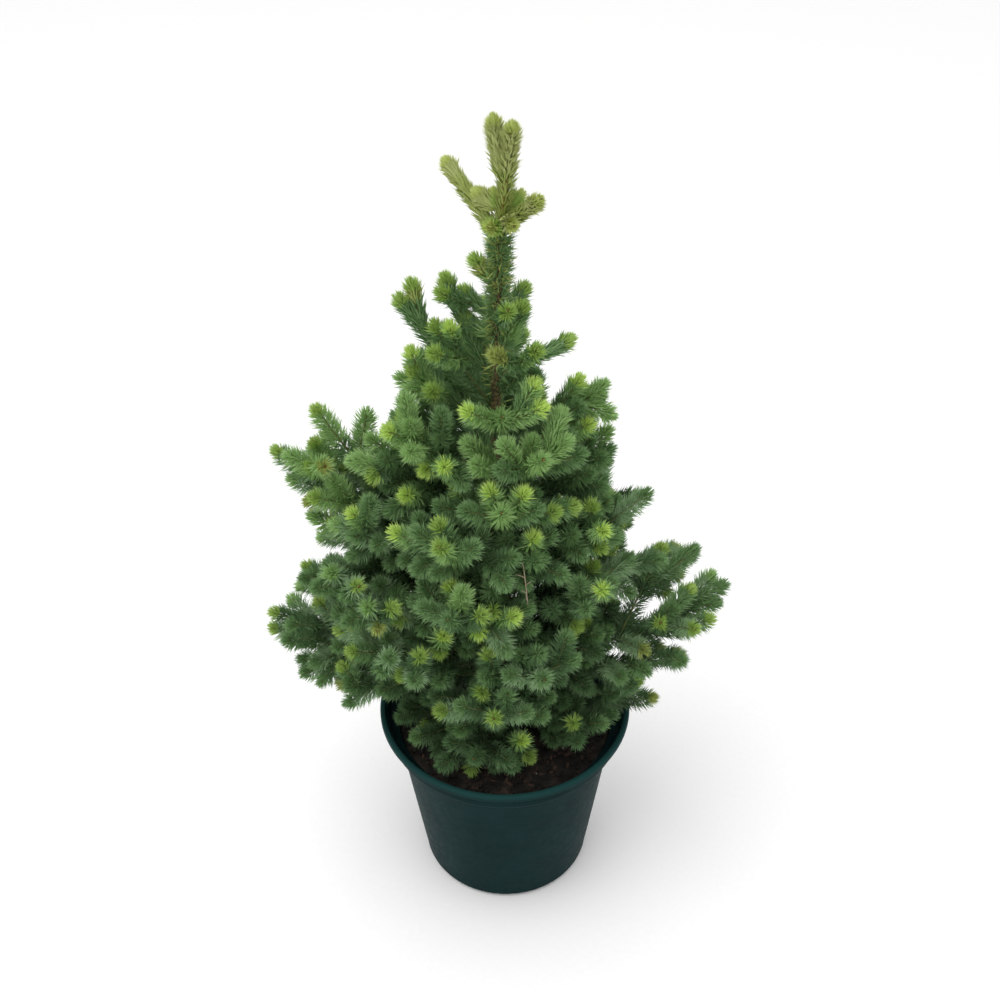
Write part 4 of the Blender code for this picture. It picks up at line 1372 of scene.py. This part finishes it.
def greens_of(shoot, inner, high, out, strong, lit, chances):
    """A shoot's greens in its middle, at its foot, farther out and on its crest, and the crest's depth."""
    chance, vigour, shine = chances
    if shoot is sleeve:
        return ("olive", "leaf", "leaf", "olive"), CREST
    if shoot in leaders and shoot.tip.z < POT_HEIGHT + LEADER_OLIVE_BELOW:
        return ("olive", "olive", "lead" if chance > 0.35 else "fresh", "cap"), LEADER_CREST
    if shoot in leaders:
        return ("lead", "olive", "lead", "cap"), LEADER_CREST
    # Painted shade and light: shoots in the heart take only the middle greens, the paler one more often
    # higher up.
    if inner:
        return ("leaf" if vigour < 1.3 * high else "moss", "moss", "moss", "leaf"), CREST
    patch = noise.noise(shoot.tip / PATCH) * 0.7
    # Painted light and shade: the tone rises with the shoot's height and its distance out, so the upper and
    # outer crown takes paler greens and the low heart darker ones, with random patches on top.
    tone = 0.07 + 1.08 * high ** 1.5 + 0.38 * out + patch * 0.35 + (chance - 0.5) * 0.36
    body, heel, edge, crest = next(greens for above, greens in TONES if tone > above)
    if out > 0.25 and high < 0.6 and chance > 0.50:
        body = edge = "haze"
    elif high > 0.82:
        body = "bloom" if shine > 0.55 else "leaf"
        edge = "olive" if chance > 0.8 else "leaf"
        crest = "fresh" if chance < 0.85 else "olive"
    if strong:
        return (body, heel, edge, "olive" if shine > 0.65 else "fresh"), STRONG_CREST
    if lit:
        return (body, heel, "bloom", "bright"), LIT_CREST
    return (body, heel, edge, "fresh" if vigour > 0.92 - 0.3 * high else crest), CREST


luck = np.random.default_rng(NEEDLE_SEED)
dealt = {green: [] for green in GREENS}
budded = []
for shoot in crowd.shoots + [sleeve]:
    away = np.hypot(shoot.tip.x, shoot.tip.y)
    high = np.clip((shoot.tip.z - POT_HEIGHT) / CROWN_SPAN, 0, 1)
    out = np.clip((away - OUT_FROM) / OUT_SPAN, 0, 1)
    heart = HEART_SHARE * crown_reach(shoot.tip.z - POT_HEIGHT - HEART_RISE)
    inner = shoot.order > 0 and shoot not in reaching and away < heart
    found = needles_on(shoot, luck, *stance_of(shoot, inner))
    if shoot is sleeve:
        thinning = np.interp(found[0][:, 2] - POT_HEIGHT, *SLEEVE_THINNING)
        sparse = luck.random(len(thinning)) < thinning
        found = tuple(column[sparse] for column in found)
    bases, headings, outward, lengths, rest = found
    chances = luck.random(3)
    if shoot is sleeve:
        rest = luck.choice((0.010, 0.03, 0.09), len(rest))
    elif shoot in leaders:
        lengths *= LEADER_LENGTH
    # Lit shoots, at the rosettes listed above and at random behind the trunk, more often higher up, take a
    # pale edge and a bright crest as a painted highlight.
    lit = shoot in brightest or shoot.tip.y > LIT_BEHIND and chances[2] < 0.16 * (0.5 + high)
    ordinary = not (inner or shoot is sleeve or shoot in leaders)
    strong = ordinary and out > 0.55 and (lit or chances[1] > 0.5)
    if strong or shoot in leaders or shoot.order == 0 and not inner:
        budded.append(shoot)
    greens, depth = greens_of(shoot, inner, high, out, strong, lit, chances)
    picks = np.full(len(bases), 0)
    picks[rest > FOOT_BEYOND] = 1
    picks[rest < OUTER_WITHIN] = 2
    picks[rest < depth] = 3
    clear = above_soil(bases, headings, lengths)
    for number, green in enumerate(greens):
        chosen = (picks == number) & clear
        if chosen.any():
            dealt[green].append((bases[chosen], headings[chosen], outward[chosen], lengths[chosen]))

LARGEST_PIECE = 45000
needle_pieces = []
for green, parts in dealt.items():
    held, count, number = [], 0, 1
    for place, part in enumerate(parts):
        held.append(part)
        count += len(part[0])
        if count > LARGEST_PIECE or place == len(parts) - 1:
            piece = needle_piece(f"{green}_needles_{number}", held, finishes[green])
            needle_pieces.append(piece)
            held, count, number = [], 0, number + 1
for piece in needle_pieces:
    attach(piece, "root")


# Buds
# Scaly golden-brown resting buds, one at each strong shoot's tip with two small ones beside
# it, as blunt ovoids.
BUD_LENGTH = 0.0054
BUD_RADIUS = 0.0015
BUD_RINGS = ((0.0, 0.70), (0.25, 1.0), (0.55, 0.92), (0.85, 0.45))
BUD_SIDES = 6
BUD_SEED = 12
SIDE_BUD_SIZE = 0.62
SIDE_BUD_ANGLE = 48
BUD_SUNK = 0.0012
SIDE_BUD_BACK = 0.0030

# Bud scales: dry, golden brown, darker towards the tip of each scale.
BUD_SCALE_MM = 1.6
bud_skin, tree, shader, place = new_finish("golden_bud_scales", Roughness=0.6)
scales = add_node(tree, "ShaderNodeTexVoronoi", {"Vector": place, "Scale": per_mm(BUD_SCALE_MM)})
tan = add_node(tree, "ShaderNodeMix", {0: scales.outputs["Distance"], 6: paint("8E7A40"), 7: paint("5C4826")},
               data_type='RGBA')
tree.links.new(tan.outputs[2], shader.inputs["Base Color"])


def bud(foot, heading, size):
    """One bud as a short limb that swells and closes."""
    points = [foot + heading * BUD_LENGTH * size * share for share, width in BUD_RINGS]
    return limb_rings(points, [BUD_RADIUS * size * width for share, width in BUD_RINGS], BUD_SIDES)


dice = random.Random(BUD_SEED)
buds = []
for shoot in budded:
    heading = shoot.heading(1)
    aside = heading.cross(UP if abs(heading.z) < 0.9 else Vector((1, 0, 0))).normalized()
    size = dice.uniform(0.85, 1.15)
    buds.append(bud(shoot.tip - heading * BUD_SUNK, heading, size))
    for side in (-1, 1):
        angle = radians(SIDE_BUD_ANGLE) * dice.uniform(0.8, 1.2)
        turned = (heading * cos(angle) + aside * side * sin(angle)).normalized()
        buds.append(bud(shoot.tip - heading * SIDE_BUD_BACK, turned, size * SIDE_BUD_SIZE))
bud_piece = join_limbs("buds", buds, bud_skin)
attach(bud_piece, "root")


# Dead twig
# A side shoot at the front of the crown has died. It is bare and dry, grey brown with a pink
# cast, and keeps the stubs of its own side shoots.
DEAD_FOOT = Vector((0.0222, -0.105, POT_HEIGHT + 0.2470))
DEAD_TIP = Vector((0.0179, -0.105, POT_HEIGHT + 0.2940))
DEAD_RADIUS = 0.0009
DEAD_TIP_RADIUS = 0.0004
DEAD_STUB_RADIUS = 0.0005
DEAD_STEPS = 14
WANDER_SIZE = 0.012
WANDER = 0.0022
WANDER_SEED = 4
BEARER_STEPS = 12

# Each stub's place along the twig, its bearing and its length, and how all of them lean.
DEAD_STUBS = ((0.22, 150, 0.006), (0.44, 40, 0.008), (0.62, 165, 0.011))
DEAD_STUB_LEAN = (-0.35, 0.75)

# Dead spruce wood: matt, grey brown, with paler lengths where the skin has peeled.
dead_skin = two_tone_finish("dead_twig_wood", "80705C", "B4A48C", 5.0, 3.0, Roughness=0.85)


def dead_limb(foot, tip, radius):
    """A thin dry limb that wanders a little between its ends."""
    points = []
    for step in range(DEAD_STEPS + 1):
        share = step / DEAD_STEPS
        spot = foot.lerp(tip, share)
        wander = noise.noise_vector(spot / WANDER_SIZE) * WANDER * sin(pi * share)
        points.append(spot + wander)
    radii = [radius + (DEAD_TIP_RADIUS - radius) * step / DEAD_STEPS for step in range(DEAD_STEPS + 1)]
    return limb_rings(points, radii, TWIG_SIDES)


noise.seed_set(WANDER_SEED)
spots = [shoot.point(step / BEARER_STEPS) for shoot in crowd.shoots for step in range(BEARER_STEPS + 1)]
bearer = min(spots, key=lambda spot: (spot - DEAD_FOOT).length)
limbs = [dead_limb(bearer, DEAD_FOOT, DEAD_RADIUS), dead_limb(DEAD_FOOT, DEAD_TIP, DEAD_RADIUS)]
for share, bearing, reach in DEAD_STUBS:
    foot = DEAD_FOOT.lerp(DEAD_TIP, share)
    away = Vector((cos(radians(bearing)), *DEAD_STUB_LEAN)).normalized()
    limbs.append(dead_limb(foot, foot + away * reach, DEAD_STUB_RADIUS))
dead_twig = join_limbs("dead_twig", limbs, dead_skin)
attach(dead_twig, "root")
